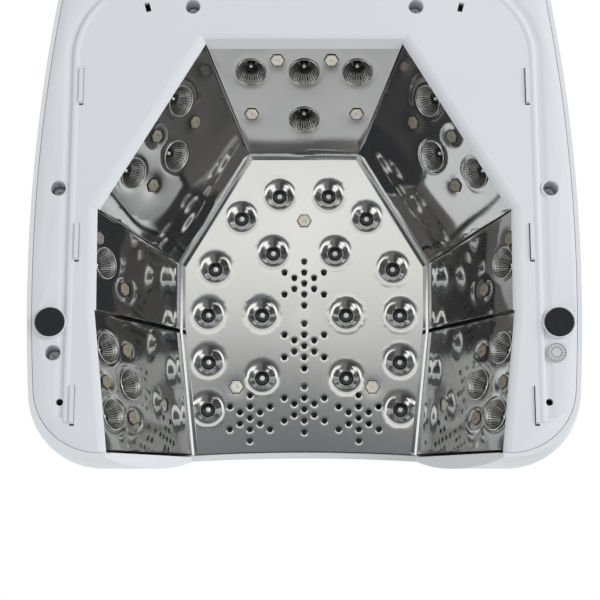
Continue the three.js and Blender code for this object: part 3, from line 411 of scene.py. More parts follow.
def wall_frame(i):
    """A wall's own frame: x along its lower edge, y up its slope, z outward through the sheet."""
    start, end = Vector(BASE_POLYGON[i] + (BASE,)), Vector(BASE_POLYGON[(i + 1) % 8] + (BASE,))
    along = (end - start).normalized()
    up = Vector((along.y, -along.x, 0)) * -math.sin(LEANS[i])
    up.z = math.cos(LEANS[i])
    matrix = Matrix((along, up, along.cross(up))).transposed().to_4x4()
    matrix.translation = (start + end) / 2
    return matrix


def wall_outline(i, depth, low, high, seam):
    """The outline that a wall has in its own frame, at `depth` outward from the cavity's faces. The front
    walls stand further off the side walls than the other walls do."""
    inverse = wall_frame(i).inverted()
    corners = [inverse @ Vector(cavity_section(z, depth)[vertex] + (z,))
               for vertex, z in ((i + 1, low), (i + 1, high), (i, high), (i, low))]
    start, end = [WIDE_SEAM if vertex in (1, 6) else seam for vertex in (i + 1, i)]
    return offset_polygon([(p.x, p.y) for p in corners], [-start / 2, -seam / 2, -end / 2, -seam / 2])


def wall_places(i, table):
    turn_round = -1 if i < 3 else 1
    return [(turn_round * x, y) for x, y in table[WALL_KINDS[i]]]


# Materials

def linear(colour):
    """An sRGB hex colour as the linear RGBA that shaders take."""
    channels = [int(colour[k:k + 2], 16) / 255 for k in (0, 2, 4)]
    return [c / 12.92 if c <= 0.04045 else ((c + 0.055) / 1.055) ** 2.4 for c in channels] + [1.0]


def add(tree, kind, settings=None, inputs=None, feeds=None):
    """Adds a node with its settings. An input is a number, a colour or the output that feeds it, and `feeds`
    gives the sockets that its own outputs go to."""
    new = tree.nodes.new("ShaderNode" + kind)
    for name, value in (settings or {}).items():
        setattr(new, name, value)
    for name, value in (inputs or {}).items():
        socket = new.inputs[name]
        if isinstance(value, bpy.types.NodeSocket):
            tree.links.new(value, socket)
        else:
            socket.default_value = value
    for name, socket in (feeds or {}).items():
        tree.links.new(new.outputs[name], socket)
    return new


def per_metre(size):
    """The scale that gives a noise or cell pattern features of that many millimetres."""
    return 1.0 / (size * MM)


def surface(name, tones, roughness, size, depth=0.0, detail=3.0, fine=0.5, woven=False, stretch=(1, 1, 1),
            flow=None, specks=(0, 1), **sockets):
    """A material whose tone, gloss and skin follow one pattern of a real size in millimetres: the colour and
    the roughness go from a first to a second value, and the skin rises by `depth` millimetres. The pattern
    is a noise, or a weave, on coordinates scaled by `stretch`. `flow` gives the tones a broader noise of
    their own, and `specks` is the part of the pattern over which the second tone comes in."""
    material = bpy.data.materials.new(name)
    material.use_nodes = True
    material.diffuse_color = linear(tones[0])
    tree = material.node_tree
    shader = tree.nodes["Principled BSDF"].inputs
    for socket, value in sockets.items():
        shader[socket.replace("_", " ")].default_value = value
    where = add(tree, "TexCoord").outputs["Object"]
    where = add(tree, "Mapping", {}, {"Vector": where, "Scale": stretch}).outputs["Vector"]
    kind, grain = ("TexChecker", {}) if woven else ("TexNoise", {"Detail": detail, "Roughness": fine})
    marks = add(tree, kind, {}, {"Vector": where, "Scale": per_metre(size), **grain}).outputs["Fac"]
    share = marks
    if flow:
        share = add(tree, "TexNoise", {}, {"Vector": where, "Scale": per_metre(flow)}).outputs["Fac"]
    share = add(tree, "MapRange", {}, {"Value": share, "From Min": specks[0], "From Max": specks[1]})
    add(tree, "Mix", {"data_type": "RGBA"}, {"Factor": share.outputs["Result"], 6: linear(tones[0]),
                                             7: linear(tones[1])}, {2: shader["Base Color"]})
    add(tree, "MapRange", {}, {"Value": marks, "To Min": roughness[0], "To Max": roughness[1]},
        {"Result": shader["Roughness"]})
    if depth:
        add(tree, "Bump", {}, {"Height": marks, "Distance": depth * MM}, {"Normal": shader["Normal"]})
    return material


# White ABS, injection moulded in a spark-eroded tool: soft satin sheen, a skin of fine round grain, and
# broad, hardly visible flow shading
casing_white = surface("moulded_white_abs", ("DBDDE0", "D5D8DB"), (0.36, 0.5), 0.5, 0.006, flow=60, IOR=1.54)
frame_white = surface("moulded_frame_abs", ("DADCDF", "D4D7DA"), (0.36, 0.5), 0.45, 0.006, flow=60, IOR=1.54)
# Stainless sheet, satin rolled and then stamped: pale, with fine straight grain from front to rear that
# stretches its soft reflections. Real rolling grain is 0.02 mm wide; drawn 0.3 mm wide, it shows
satin_steel = surface("stamped_satin_stainless", ("CCCCC8", "D2D2CF"), (0.11, 0.16), 0.3, 0.0004, fine=0.6,
                      stretch=(1.0, 0.012, 1.0), Metallic=1.0, Anisotropic=0.35)
# The same stainless where the stamping dies burnished it: smooth enough to mirror the room, a little blurred
burnished_steel = surface("burnished_stainless", ("C3C4C4", "CECECD"), (0.12, 0.17), 2.5, Metallic=1.0)
# Stainless sheet polished to a mirror: sharp reflections that waver with the sheet, and faint buffing haze
# that softens them here and there
polished_steel = surface("mirror_polished_stainless", ("C2C3C3", "CDCECD"), (0.025, 0.07), 14, 0.004, 4.0,
                         Metallic=1.0)
# ABS cup, metallised with aluminium in vacuum: facets darkened to a smoky grey as painted shade, which flash
# where they catch a light, and softer bright ridges between them in the metal's own tone
cup_facets_painted_shade = surface("metallised_facets_painted_shade", ("81817E", "90908C"), (0.049, 0.091), 1.5, detail=2.0,
                     Metallic=1.0)
cup_ridges = surface("vacuum_metallised_ridges", ("EFEFEC", "F6F6F4"), (0.238, 0.442), 1.5, detail=2.0,
                     Metallic=1.0)
# Black rubber foot, compression moulded: deep matt black with pale dust specks caught in its skin
rubber = surface("moulded_black_rubber", ("1E2021", "505251"), (0.85, 0.85), 0.5, 0.04, 4.0,
                 specks=(0.6, 0.74), IOR=1.52)
# Epoxy-glass board under solder mask: even colour, low gloss, and a faint weave of the glass cloth
white_board = surface("white_masked_board", ("D8D8CF", "CFCFC6"), (0.45, 0.45), 0.6, 0.01,
                      woven=True, IOR=1.52)
green_board = surface("green_masked_board", ("2C5B3C", "27533A"), (0.45, 0.45), 0.6, 0.01,
                      woven=True, IOR=1.52)
# Black epoxy round each LED: glossy, nearly black
led_black = surface("black_epoxy", ("0E0F10", "161718"), (0.187, 0.253), 0.8, 0.004, IOR=1.55)
# LED dome, pale and opaque where clear silicone would be: it stands for the pale chip seen through the
# silicone and in part is a painted highlight; wet, bright and slightly milky
led_pale_dome = surface("pale_silicone_painted_highlight", ("D9DBDC", "F0F0EE"), (0.051, 0.069), 0.7, IOR=1.41, Coat_Weight=1.0,
                    Coat_Roughness=0.02)
# Nylon rivet down in the mirrors' shade: the ivory rivets' nylon darkened to a waxy grey-brown as painted
# shade, with an uneven skin
shaded_nylon = surface("nylon_painted_shade", ("938D7C", "69655A"), (0.306, 0.414), 1.4, 0.03, IOR=1.53)
# Nylon rivet in the light, moulded in ivory: waxy and pale, with a little light inside
ivory_nylon = surface("moulded_ivory_nylon", ("E8E5DA", "D6D2C4"), (0.323, 0.437), 1.2, 0.01, IOR=1.53,
                      Subsurface_Weight=0.15, Subsurface_Scale=0.001)
# Aluminised paper seal: pale and faintly metallic, with dull printed lines
seal_paper = surface("aluminised_paper", ("D3D4D5", "C4C6C8"), (0.3825, 0.5175), 1.0, 0.01, Metallic=0.25)
seal_ink = surface("grey_printing_ink", ("85888B", "6F7275"), (0.51, 0.69), 0.6, 0.003, IOR=1.5)
# Nickel-plated steel screw: metal darkened to mid-grey as painted shade of its deep well, and dull
nickel_painted_shade = surface("nickel_plated_steel_painted_shade", ("8F9196", "7B7D83"), (0.425, 0.575), 1.0, 0.004, Metallic=1.0)
# Push buttons of smooth-moulded white ABS: glossier than the casing
button_white = surface("glossy_moulded_abs", ("E4E6E8", "DEE0E3"), (0.2125, 0.2875), 8.0, 0.004, IOR=1.54)
# Smoked acrylic window: deep grey, glassy
smoked_acrylic = surface("smoked_acrylic", ("17191C", "1C1F22"), (0.068, 0.092), 12.0, IOR=1.49)
# Switch and socket of black polyamide: fine eroded skin
black_polyamide = surface("moulded_black_polyamide", ("1B1C1E", "242527"), (0.408, 0.552), 0.4, 0.01,
                          IOR=1.53)
# Tray of grey polystyrene: even and matt
grey_polystyrene = surface("moulded_grey_polystyrene", ("8C9094", "84888C"), (0.4675, 0.6325), 0.6, 0.01,
                           IOR=1.59)
# Heat-shrunk PVC sleeve: glossy blue skin with small wrinkles
blue_sleeve = surface("shrunk_pvc_sleeve", ("2B63A8", "24579A"), (0.255, 0.345), 6.0, 0.06, IOR=1.53)
# Pad-printed marks on the rocker: dull white ink
mark_white = surface("white_pad_print", ("D9DADB", "CBCCCD"), (0.425, 0.575), 0.6, 0.003, IOR=1.5)


# How a finished piece joins the frame

def settle(piece, body, finish, replaces):
    if finish:
        piece.data.materials.clear()
        piece.data.materials.append(finish)
    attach(piece, body)
    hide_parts(*replaces)


# Top cover

SCREWS = [(48, 84.9), (103.4, 2.7), (103.5, -68.3)]
FEET = {"front": (105.0, -55.5), "rear": (80.0, 98.0)}
BUTTON_ROW, DISPLAY_ROW = -30.0, -4.0
BUTTONS = [(-36, BUTTON_ROW), (-12, BUTTON_ROW), (12, BUTTON_ROW), (36, BUTTON_ROW)]
CONTROL_BOARD_FACE, WELL_TOP, ARCH_REACH = 86.6, 14.0, 12.0
# Recessed pad at the rear, with the switch on one side of its middle and the socket on the other
PAD_LOW, PAD_HIGH, PAD_MIDDLE, SWITCH_SIDE = 15.0, 41.0, 28.0, 16.0
PAD_FACE = HALF_DEPTH - REAR_SHOULDER * dome_lean(PAD_HIGH) - 1.6


def arch_section(grow):
    low, high = cavity_section(BASE, 0)[0][0], cavity_section(CEILING, 0)[0][0]
    slope = (low - high) / (CEILING - BASE)
    top = CEILING + grow
    low_half, high_half = high + slope * (CEILING + 10) + grow, high + slope * (CEILING - top) + grow
    return [(-low_half, -10.0), (low_half, -10.0), (high_half, top), (-high_half, top)]


def arch_prism(name, grow, rear):
    """The opening's section, run from far in front of the lamp to `rear`."""
    section = arch_section(grow)
    return loft(name, [[(x, y, z) for x, z in section] for y in (rear, -2 * HALF_DEPTH)])


def make_casing():
    outer = casing_volume("casing", 0, BASE)
    combine(outer, [casing_volume("space", WALL, BASE - 1)], "DIFFERENCE")
    lip = casing_volume("lip", 0, BASE)
    behind = [(lip_inside(-5), -5), (200, -5), (200, 100), (lip_inside(100), 100)]
    behind = loft("behind", [[(x, y, z) for y, z in behind] for x in (-150, 150)])
    combine(lip, [combine(casing_volume("space", LIP_DEPTH, BASE - 1), [behind], "INTERSECT")], "DIFFERENCE")
    above_frame = block("above", (300, 300, 100), (0, 0, PLATE_TOP + GAP + 50))
    combine(lip, [arch_prism("band", LIP_HEIGHT, MOUTH + ARCH_REACH + LIP_HEIGHT), above_frame], "INTERSECT")
    pad = block("pad", (66, 10, PAD_HIGH - PAD_LOW), (0, PAD_FACE - 3.6 + 5, PAD_MIDDLE))
    combine(pad, [casing_volume("space", 0, BASE)], "INTERSECT")
    posts = [column("post", 4, WELL_TOP + GAP, HEIGHT, x, y, 24) for x, y in mirrored(SCREWS)]
    posts += [column("post", 2.5, CONTROL_BOARD_FACE + GAP, HEIGHT, x, y, 20)
              for x, y in mirrored([(48, -42), (48, 8)])]
    posts = gather("posts", posts)
    combine(posts, [casing_volume("space", WALL / 2, BASE)], "INTERSECT")
    combine(outer, [lip, pad, posts], "UNION")
    cutters = [arch_prism("arch", 0, MOUTH + ARCH_REACH)]
    cutters += [column("hole", 6.8, HEIGHT - 3, HEIGHT + 1, x, y, 64) for x, y in BUTTONS]
    window = [(x, y + DISPLAY_ROW) for x, y in rounded_rectangle(46.6, 20.6, 4.3)]
    cutters.append(prism("window", window, HEIGHT - 1.1, HEIGHT + 1))
    cutters.append(block("recess", (64, 29, 24), (0, PAD_FACE + 14.5, PAD_MIDDLE)))
    cutters.append(block("switch_hole", (19.6, 56, 13.6), (SWITCH_SIDE, PAD_FACE, PAD_MIDDLE)))
    socket_hole = column("socket_hole", 4.3, -12, 12, 0, 0, 48)
    cutters.append(place(socket_hole, spot_matrix(-SWITCH_SIDE, PAD_FACE, PAD_MIDDLE, math.pi / 2)))
    for x in [side * middle for side in (1, -1) for middle in (50, 56, 62, 68, 74)]:
        air_slot = [(x + px, PAD_MIDDLE + pz) for px, pz in rounded_rectangle(2.2, 16, 1.09)]
        cutters.append(loft("slot", [[(px, HALF_DEPTH + y, pz) for px, pz in air_slot] for y in (30, -28)]))
    combine(outer, cutters, "DIFFERENCE")
    settle(outer, "housing", casing_white, ["top_cover"])


make_casing()


# Base frame

SEAM = 0.02
RIDGE_HALF, RIDGE_REAR, RIDGE_FRONT, RIDGE_CORNER = 96.2, 96.0, -97.4, 34.5
SLITS = [-90.4, -20.9, 48.3]
FOOT_RADIUS, FOOT_THICKNESS = 5.8, 2.3
CLIP_MIDDLE = RIDGE_HALF - 1.15


def ridge_path(grow, front):
    half, rear, radius = RIDGE_HALF + grow, RIDGE_REAR + grow, RIDGE_CORNER + grow
    points = [(half, front + (rear - radius - front) * k / 12) for k in range(12)]
    points += arc((half - radius, rear - radius), radius, 0, math.pi / 2, 24)
    points += [(half - radius - 2 * (half - radius) * k / 8, rear) for k in range(8)]
    points += arc((radius - half, rear - radius), radius, math.pi / 2, math.pi, 24)
    points += [(-half, rear - radius + (front - rear + radius) * k / 12) for k in range(13)]
    return points


def ridge_sweep(name, section, front):
    """A solid whose closed (outward, height) section follows the U of the ridge."""
    rows = [level(ridge_path(grow, front), z) for grow, z in section]
    count, length = len(rows), len(rows[0])
    faces = quads(count, length, ring=False, loop=True)
    faces.append([k * length for k in range(count)])
    faces.append([k * length + length - 1 for k in reversed(range(count))])
    sweep = new_mesh(name, [p for row in rows for p in row], faces)
    clean(sweep)
    return sweep


def cavity_volume(name, low, high, grow, mouth_grow=30.0):
    return loft(name, [level(cavity_section(z, grow, mouth_grow), z) for z in (low, high)])


# The collar round the opening, for each kind of wall: how wide its rounded shoulder is, how far its lip
# reaches inward and how far it rises
COLLARS = {"front": (2.6, 0.1, 1.5), "side": (3.1, 0.75, 1.5), "diagonal": (2.9, 1.6, 2.4),
           "back": (2.5, 3.1, 4.5)}


def collar_strip(i, outline):
    """The collar along one edge of the opening: a rounded shoulder, then a steep lip, mitred against its
    neighbours."""
    width, reach, rise = COLLARS[WALL_KINDS[i]]
    start, drop = reach - rise * math.tan(LEANS[i]), 0.27 * width
    steps = [k / 7 for k in range(8)]
    face = [(start - width * (1 - t) + 0.3 * drop * t ** 3, drop * t ** 1.8) for t in steps] + [(reach, rise)]
    section = [(start - width - 0.9, 0.005)] + face + [(reach - 0.7, rise), (start - 0.8, drop + 0.6),
                                                       (start - width - 0.9, 0.75)]
    rows = []
    for inward, height in section:
        corners = offset_polygon(BASE_POLYGON, [-inward] * 7 + [8.0])
        rows.append([corner + (BASE + height,) for corner in (corners[i], corners[i + 1])])
    strip = loft("collar", [[row[end] for row in rows] for end in (0, 1)])
    clean(strip)
    return combine(strip, [prism("within", outline, BASE - 1, WELL_TOP)], "INTERSECT")


def make_frame():
    inset = BOTTOM_INSET + WALL + SEAM
    plate = loft("frame_moulding", [level(casing_ring(0, inset + round_off), z) for round_off, z in (
        (0.06, BASE), (0.02, BASE + 0.02), (0, BASE + 0.06), (0, PLATE_TOP))])
    combine(plate, [cavity_volume("clear", BASE + 0.8, PLATE_TOP + 1, 3.2)], "DIFFERENCE")
    ridge = ridge_sweep("ridge", [(-0.4, 3.0), (-0.4, 1.98), (0, 1.91), (0.35, 1.79), (0.7, 1.7), (1.0, 1.66),
                                  (1.5, 1.66), (1.9, 1.7), (2.2, 1.8), (2.35, 1.92), (2.4, 3.0)], RIDGE_FRONT)
    combine(plate, [ridge], "UNION")
    groove = ridge_sweep("groove", [(2.4, 1.0), (2.4, 2.4), (2.7, 2.48), (3.2, 2.5), (4.2, 2.42), (5.0, 2.25),
                                    (5.8, 2.06), (6.6, 1.98), (6.6, 1.0)], RIDGE_FRONT + 2)
    cutters = [groove]
    for side in (1, -1):
        cutters.append(column("hole", 1.5, 0, PLATE_TOP + 1, side * 100, -89, 32))
        catch = block("catch", (2.2, 4.2, 8), (0, 0, BASE))
        cutters.append(place(catch, spot_matrix(side * 67.3, 84.5, 0, -side * math.radians(15), "Z")))
        for y in SLITS:
            x = side * (RIDGE_HALF - 2.2)
            cutters.append(block("slit", (0.4, 16.5, 8 if side < 0 else 0.9), (x, y, BASE)))
            cutters.append(block("slit_end", (2.0, 0.9, 8), (x + side * 0.8, y - 8.1, BASE)))
    combine(plate, cutters, "DIFFERENCE")
    clip = rounded_rectangle(1.6, 15.5, 0.3, 3)
    clips = [prism("clip", [(x + px, y + 0.6 + py) for px, py in clip], BASE - 0.75, BASE + 0.6)
             for x in (CLIP_MIDDLE, -CLIP_MIDDLE) for y in SLITS]
    well = [(4.6, 4.0), (4.6, WELL_TOP), (1.65, WELL_TOP), (1.65, 12.2), (3.2, 12.2), (3.2, 2.3), (3.45, 2.0),
            (3.9, 2.0), (3.9, 4.0)]
    wells = [turned("well", well, 48, x, y) for x, y in mirrored(SCREWS)]
    holes = [column("well_hole", 3.9, 0, 9, x, y, 48) for x, y in mirrored(SCREWS)]
    holes += [column("foot_hole", FOOT_RADIUS + 1, 0, 9, x, y, 64) for x, y in mirrored(FEET.values())]
    combine(plate, [gather("clips", clips)], "UNION")
    combine(plate, holes, "DIFFERENCE")
    lip = [(0.3, 2.6), (0.3, 1.25), (0.45, 1.05), (0.65, 1.0), (0.85, 1.05), (1.0, 1.25), (1.0, PLATE_TOP)]
    foot_cup = [(0, 2.6)] + [(FOOT_RADIUS + grow, z) for grow, z in lip] + [(0, PLATE_TOP)]
    cups = [turned("foot_cup", foot_cup, 64, x, y) for x, y in mirrored(FEET.values())]
    combine(plate, [gather("uprights", wells + cups)], "UNION")
    combine(plate, [cavity_volume("cavity", 0, WELL_TOP, 2.6)], "DIFFERENCE")
    combine(plate, [collar_strip(i, casing_ring(0, inset)) for i in range(7)], "UNION")
    settle(plate, "housing", frame_white, ["base_frame"])


make_frame()


# Ceiling reflector: one stamped sheet with dished LED openings, star vents and a rolled edge

DISH_HOLE, VENT_HOLE, RIVET_HOLE = 3.1, 1.25, 1.9
# The rolled edge from the flat outward: a steep flange, whose steps are shares of its width, then a gentle
# lip over the walls' upper edges in millimetres; each step with its rise
ROLL = [(-1.0, 0.0), (-0.95, 0.04), (-0.86, 0.14), (-0.55, 0.49), (-0.25, 0.84), (-0.08, 1.04), (0.0, 1.1),
        (0.1, 1.125), (1.1, 1.34)]
FLANGE = {"front": 1.5, "side": 1.3, "diagonal": 2.0, "back": 3.0}
DISH_RINGS = [(8.2, 0.0), (7.7, 0.02), (7.2, 0.06), (6.7, 0.14), (6.2, 0.28), (5.8, 0.47), (5.4, 0.72),
              (5.0, 1.02), (4.6, 1.32), (4.2, 1.62), (3.8, 1.9), (3.45, 2.1), (3.25, 2.18), (DISH_HOLE, 2.5)]
BURNISHED = 5.0


def ceiling_outline(step):
    offsets = [-0.9 + (step * FLANGE[kind] if step < 0 else step) for kind in WALL_KINDS]
    shrunk = offset_polygon(cavity_section(CEILING, 0), offsets + [0])
    half = shrunk[0][0]
    across = [-half + 2 * half * k / 24 for k in range(25)]
    front = [(x, front_line(x, LIP_LEAN, LIP_DEPTH + GAP)) for x in across]
    return front[-1:] + shrunk[1:-1] + front[:-1]


def dish_height(radius):
    """How far the stamped dish lies above the sheet's face at a distance from its middle."""
    for (outer, low), (inner, high) in zip(DISH_RINGS, DISH_RINGS[1:]):
        if radius >= inner:
            return low + (high - low) * (outer - radius) / (outer - inner)
    return DISH_RINGS[-1][1]


def ceiling_height(x, y):
    z = CEILING + 0.05 * math.sin(x / 17) * math.sin(y / 21)
    for px, py in mirrored(CEILING_LEDS):
        reach = math.hypot(x - px, y - py)
        if reach < DISH_RINGS[0][0]:
            flat_edge = max(0.0, min(1.0, edge_distance((x, y), ceiling_edge) / 0.7)) if abs(x) > 38 else 1.0
            z = CEILING + dish_height(reach) * flat_edge
    for px, py in vent_places:
        reach = math.hypot(x - px, y - py)
        z += 0.05 * max(0.0, min(1.0, (1.85 - reach) / 0.6)) ** 2
    for px, py in CEILING_RIVETS:
        reach = math.hypot(x - px, y - py)
        z += 0.06 * math.exp(-(reach / 3.6) ** 2)
    return z


vent_places = []
for star_x, star_y in VENT_STARS:
    vent_places.append((star_x, star_y))
    for arm in range(6):
        turn = math.radians(90 + 60 * arm)
        for reach in (5, 10):
            vent_places.append((star_x + reach * math.cos(turn), star_y + reach * math.sin(turn)))
ceiling_edge = ceiling_outline(ROLL[0][0])


def ring_spots(places, radii, steps):
    """Circles of points round each place, where a pressed sheet needs them."""
    return [spot for x, y in places for radius in radii for spot in circle(x, y, radius, steps)]


def make_ceiling():
    leds = mirrored(CEILING_LEDS)
    holes = [circle(x, y, DISH_HOLE, 48) for x, y in leds]
    holes += [circle(x, y, VENT_HOLE, 20) for x, y in vent_places]
    holes += [circle(x, y, RIVET_HOLE, 20) for x, y in CEILING_RIVETS]
    spots = ring_spots(leds, [9.8, 9.0] + [radius for radius, _ in DISH_RINGS[:-1]], 48)
    spots += ring_spots(vent_places, (1.4, 1.6, 1.9, 2.4), 20)
    spots += ring_spots(CEILING_RIVETS, (3.2, 4.2, 5.4, 6.8), 24)
    sheet = pressed_sheet("ceiling_sheet", ceiling_edge, holes, spots, 2.6, ceiling_height, SHEET)
    rows = [(step, rise, 0.0) for step, rise in ROLL]
    rows += [(step, rise, SHEET) for step, rise in reversed(ROLL)]
    # The flange rises a little more at the rear
    paths = [[corner + (CEILING + rise * (1.3 if i in (3, 4) else 1.0) + sheet,)
              for i, corner in enumerate(ceiling_outline(step)[:8])] for step, rise, sheet in rows]
    faces = quads(len(paths), 8, ring=False)
    faces.append([k * 8 for k in range(len(paths))])
    faces.append([k * 8 + 7 for k in reversed(range(len(paths)))])
    rim = new_mesh("rim", [p for path in paths for p in path], faces, 25)
    rim.data.materials.append(burnished_steel)
    paint(sheet, (satin_steel, burnished_steel), [
        any(math.dist(face.center.xy / MM, led) < BURNISHED for led in leds) for face in sheet.data.polygons])
    whole = gather("ceiling_sheet_rolled", [sheet, rim])
    shade(whole, 25)
    settle(whole, "housing", None, ["ceiling_reflector"])


make_ceiling()


# Lamps of the boards, rivets, cups and wall reflectors

def led(radius, length, board_face):
    """A black-bodied LED with a pale dome, partly a painted highlight, that points along -Z; its tip is
    `length` below the board.
    """
    tip = board_face - length
    dome = radius * 0.42
    body = turned("led_body", [(0, tip + 1.5), (dome + 0.15, tip + 1.5), (dome + 0.3, tip + 0.95),
                               (radius - 0.25, tip + 0.8), (radius, tip + 1.1), (radius, board_face),
                               (0, board_face)], 32, sharp=50)
    body.data.materials.append(led_black)
    profile = [(0, tip)] + [(dome * math.sin(math.radians(a)), tip + dome * (1 - math.cos(math.radians(a))))
                            for a in (12, 25, 38, 52, 66, 80)]
    lens = turned("led_dome", profile + [(dome, tip + 1.6), (0, tip + 1.6)], 28, sharp=60)
    lens.data.materials.append(led_pale_dome)
    return [body, lens]


def rivet(head_face, board_face, finish):
    """A hexagonal nylon rivet: chamfered head with a dimple, a black ring just wider than the head that is
    painted shadow round its edge, and its shank up to the board.
    """
    profile = [(0.36, 0.6), (0.78, 0.45), (1.08, 0.08), (1.8, 0.0), (2.28, 0.04), (2.76, 0.3), (3.0, 0.6),
               (3.0, 0.9)]
    head = loft("rivet_head", [level(circle(0, 0, radius, 6), head_face + z) for radius, z in profile], 20)
    shank = column("rivet_shank", 1.5, head_face + 0.8, board_face, 0, 0, 20)
    # A black ring just wider than the head: painted shadow where the head meets the sheet
    seat = prism("rivet_shadow_ring", circle(0, 0, 3.35, 6), head_face + 0.65, head_face + 0.9)
    for piece, its_finish in ((head, finish), (shank, finish), (seat, black_polyamide)):
        piece.data.materials.append(its_finish)
    return [head, shank, seat]


def shifted(pieces, x, y):
    return [place(piece, spot_matrix(x, y, 0)) for piece in pieces]


BOARD, SUNK = 1.6, 0.2


def fit_board(label, board, leds, rivets, matrix=Matrix()):
    """Joins a board with its LEDs and rivets, which are given as their settings and their places."""
    board.data.materials.append(white_board)
    parts = [board]
    for make, settings, places in ((led, *leds), (rivet, *rivets)):
        for x, y in places:
            parts += shifted(make(*settings), x, y)
    whole = gather(f"{label}_lamps", parts)
    shade(whole, 40)
    settle(place(whole, matrix), "housing", None, [f"{label}_led_board"])


def make_ceiling_board():
    low = CEILING + SHEET + 4.6
    board = prism("board", [(x * 0.93, y * 0.93 - 2.4) for x, y in ceiling_outline(-2.4)], low, low + BOARD)
    windows = [column("window", 11.3, low - 1, low + 3, x, y, 40) for x, y in VENT_STARS[:2]]
    windows.append(block("notch", (2 * 34.75, 60, 8), (0, -74 - 30, low)))
    combine(board, windows, "DIFFERENCE")
    fit_board("ceiling", board, [(2.95, low - CEILING - 1.4, low + SUNK), mirrored(CEILING_LEDS)],
              [(CEILING - GAP - 0.6, low + SUNK, ivory_nylon), CEILING_RIVETS])


make_ceiling_board()


CUP_DEPTH, CUP_HOLE = 7.5, 6.6


def cup_mesh():
    """A moulded reflector cup: a cone of sunk facets between raised ridges and rings, with a thin bright rim.
    The cone's facets, and a thin ring just inside the rim, take the metal darkened as painted shade."""
    sectors, bands, floor_radius = 28, 7, 2.4
    steps = 4 * sectors
    outside = [(6.42, -0.44), (6.62, -0.5), (6.8, -0.4), (6.8, -0.2), (6.3, -0.2), (3.1, CUP_DEPTH),
               (floor_radius, CUP_DEPTH)]
    rows = [(radius, z, False) for radius, z in outside]
    for k in range(bands):
        for share, sunk in ((k + 0.04, True), (k + 0.85, True), (k + 0.89, False), (k + 1, False)):
            rows.append((floor_radius + 3.75 * (share / bands) ** 0.92, 7.45 - 7.65 * share / bands, sunk))
    vertices = []
    for radius, z, sunk in rows:
        for i in range(steps):
            grow = 0.045 * radius if sunk and i % 4 > 1 else 0.0
            angle = 2 * math.pi * (i // 4 + (0.0, 0.4, 0.47, 0.93)[i % 4]) / sectors
            vertices.append(((radius + grow) * math.cos(angle), (radius + grow) * math.sin(angle), z))
    piece = new_mesh("cup", vertices, quads(len(rows), steps, loop=True))
    clean(piece, 0.0001)
    # Every fourth strip of the cone and the rim keep the bright metal; the rest, and a thin ring inside the
    # rim, get the metal darkened as painted shade
    paint(piece, (cup_ridges, cup_facets_painted_shade), [k == len(rows) - 1 or (k >= len(outside) and i % 4 > 0)
                                            for k in range(len(rows)) for i in range(steps)])
    return piece


cup = cup_mesh()


def wave(x, y, seed):
    """The slow waviness of a thin polished sheet, in millimetres."""
    return (0.07 * math.sin(x / 9.5 + seed) * math.cos(y / 12 + 2 * seed)
            + 0.035 * math.sin((x + y) / 6.5 + 3 * seed))


# A wall's face lies outward from the cavity's outline. Its sheet rises behind the ceiling's rolled edge, and
# below that edge it bends inward: over the bend's height, at a slope that eases in
WALL_FACE, WALL_RISE, BEND_HEIGHT, BEND_SLOPE, BEND_EASE = 1.5, 2.2, 7.3, 0.11, 0.8
# The board's upper edge as a share of the cavity's height
BOARD_TOPS = {"back": 0.81, "diagonal": 0.562, "side": 0.481, "front": 0.532}


def make_wall(i):
    matrix, label, kind = wall_frame(i), LABELS[i], WALL_KINDS[i]
    low = BASE + 0.8 + GAP
    outline = wall_outline(i, WALL_FACE, low, CEILING + WALL_RISE, 0.7)
    top = max(y for _, y in outline)
    cups, rivets = wall_places(i, CUPS), wall_places(i, RIVETS)

    def face(x, y):
        z = WALL_FACE + wave(x, y, 1.3 * i)
        bent = max(0.0, y - top + BEND_HEIGHT + 0.4 * math.sin(x / 9))
        z -= BEND_SLOPE * bent * bent / (bent + BEND_EASE)
        for spot in rivets:
            z += 0.32 * math.exp(-(math.dist((x, y), spot) / 4.2) ** 2)
        for spot in cups:
            z += 0.12 * math.exp(-(max(0.0, math.dist((x, y), spot) - 6.5) / 1.6) ** 2)
        return z

    holes = [circle(x, y, CUP_HOLE, 40) for x, y in cups] + [circle(x, y, RIVET_HOLE, 16) for x, y in rivets]
    spots = ring_spots(cups, (7.0, 7.6, 8.4, 9.4), 40) + ring_spots(rivets, (2.8, 3.6, 4.6, 5.8, 7.2), 24)
    sheet = pressed_sheet(f"{label}_mirror", outline, holes, spots, 1.8, face, SHEET)
    settle(place(sheet, matrix), "housing", polished_steel, [f"{label}_reflector"])

    board_low = WALL_FACE + CUP_DEPTH + GAP
    outline = wall_outline(i, WALL_FACE, low + 1, BASE + BOARD_TOPS[kind] * (CEILING - BASE), 4)
    # Rivets on the walls other than the back take the nylon darkened as painted shade
    nylon = ivory_nylon if kind == "back" else shaded_nylon
    fit_board(label, prism("board", outline, board_low, board_low + BOARD),
              [(1.9, 3.8, board_low + SUNK), cups], [(0.75, board_low + SUNK, nylon), rivets], matrix)

    for k, (x, y) in enumerate(cups):
        shell = new_object(f"{label}_fluted_cup_{k + 1}", cup.data)
        spot = matrix @ Matrix.Translation((x, y, WALL_FACE))
        spot.translation = spot.translation * MM
        shell.matrix_world = spot
        settle(shell, "housing", None, [f"{label}_cup_{k + 1}"])


for wall in range(7):
    make_wall(wall)
bpy.data.objects.remove(cup)


# Feet, seal and case screws

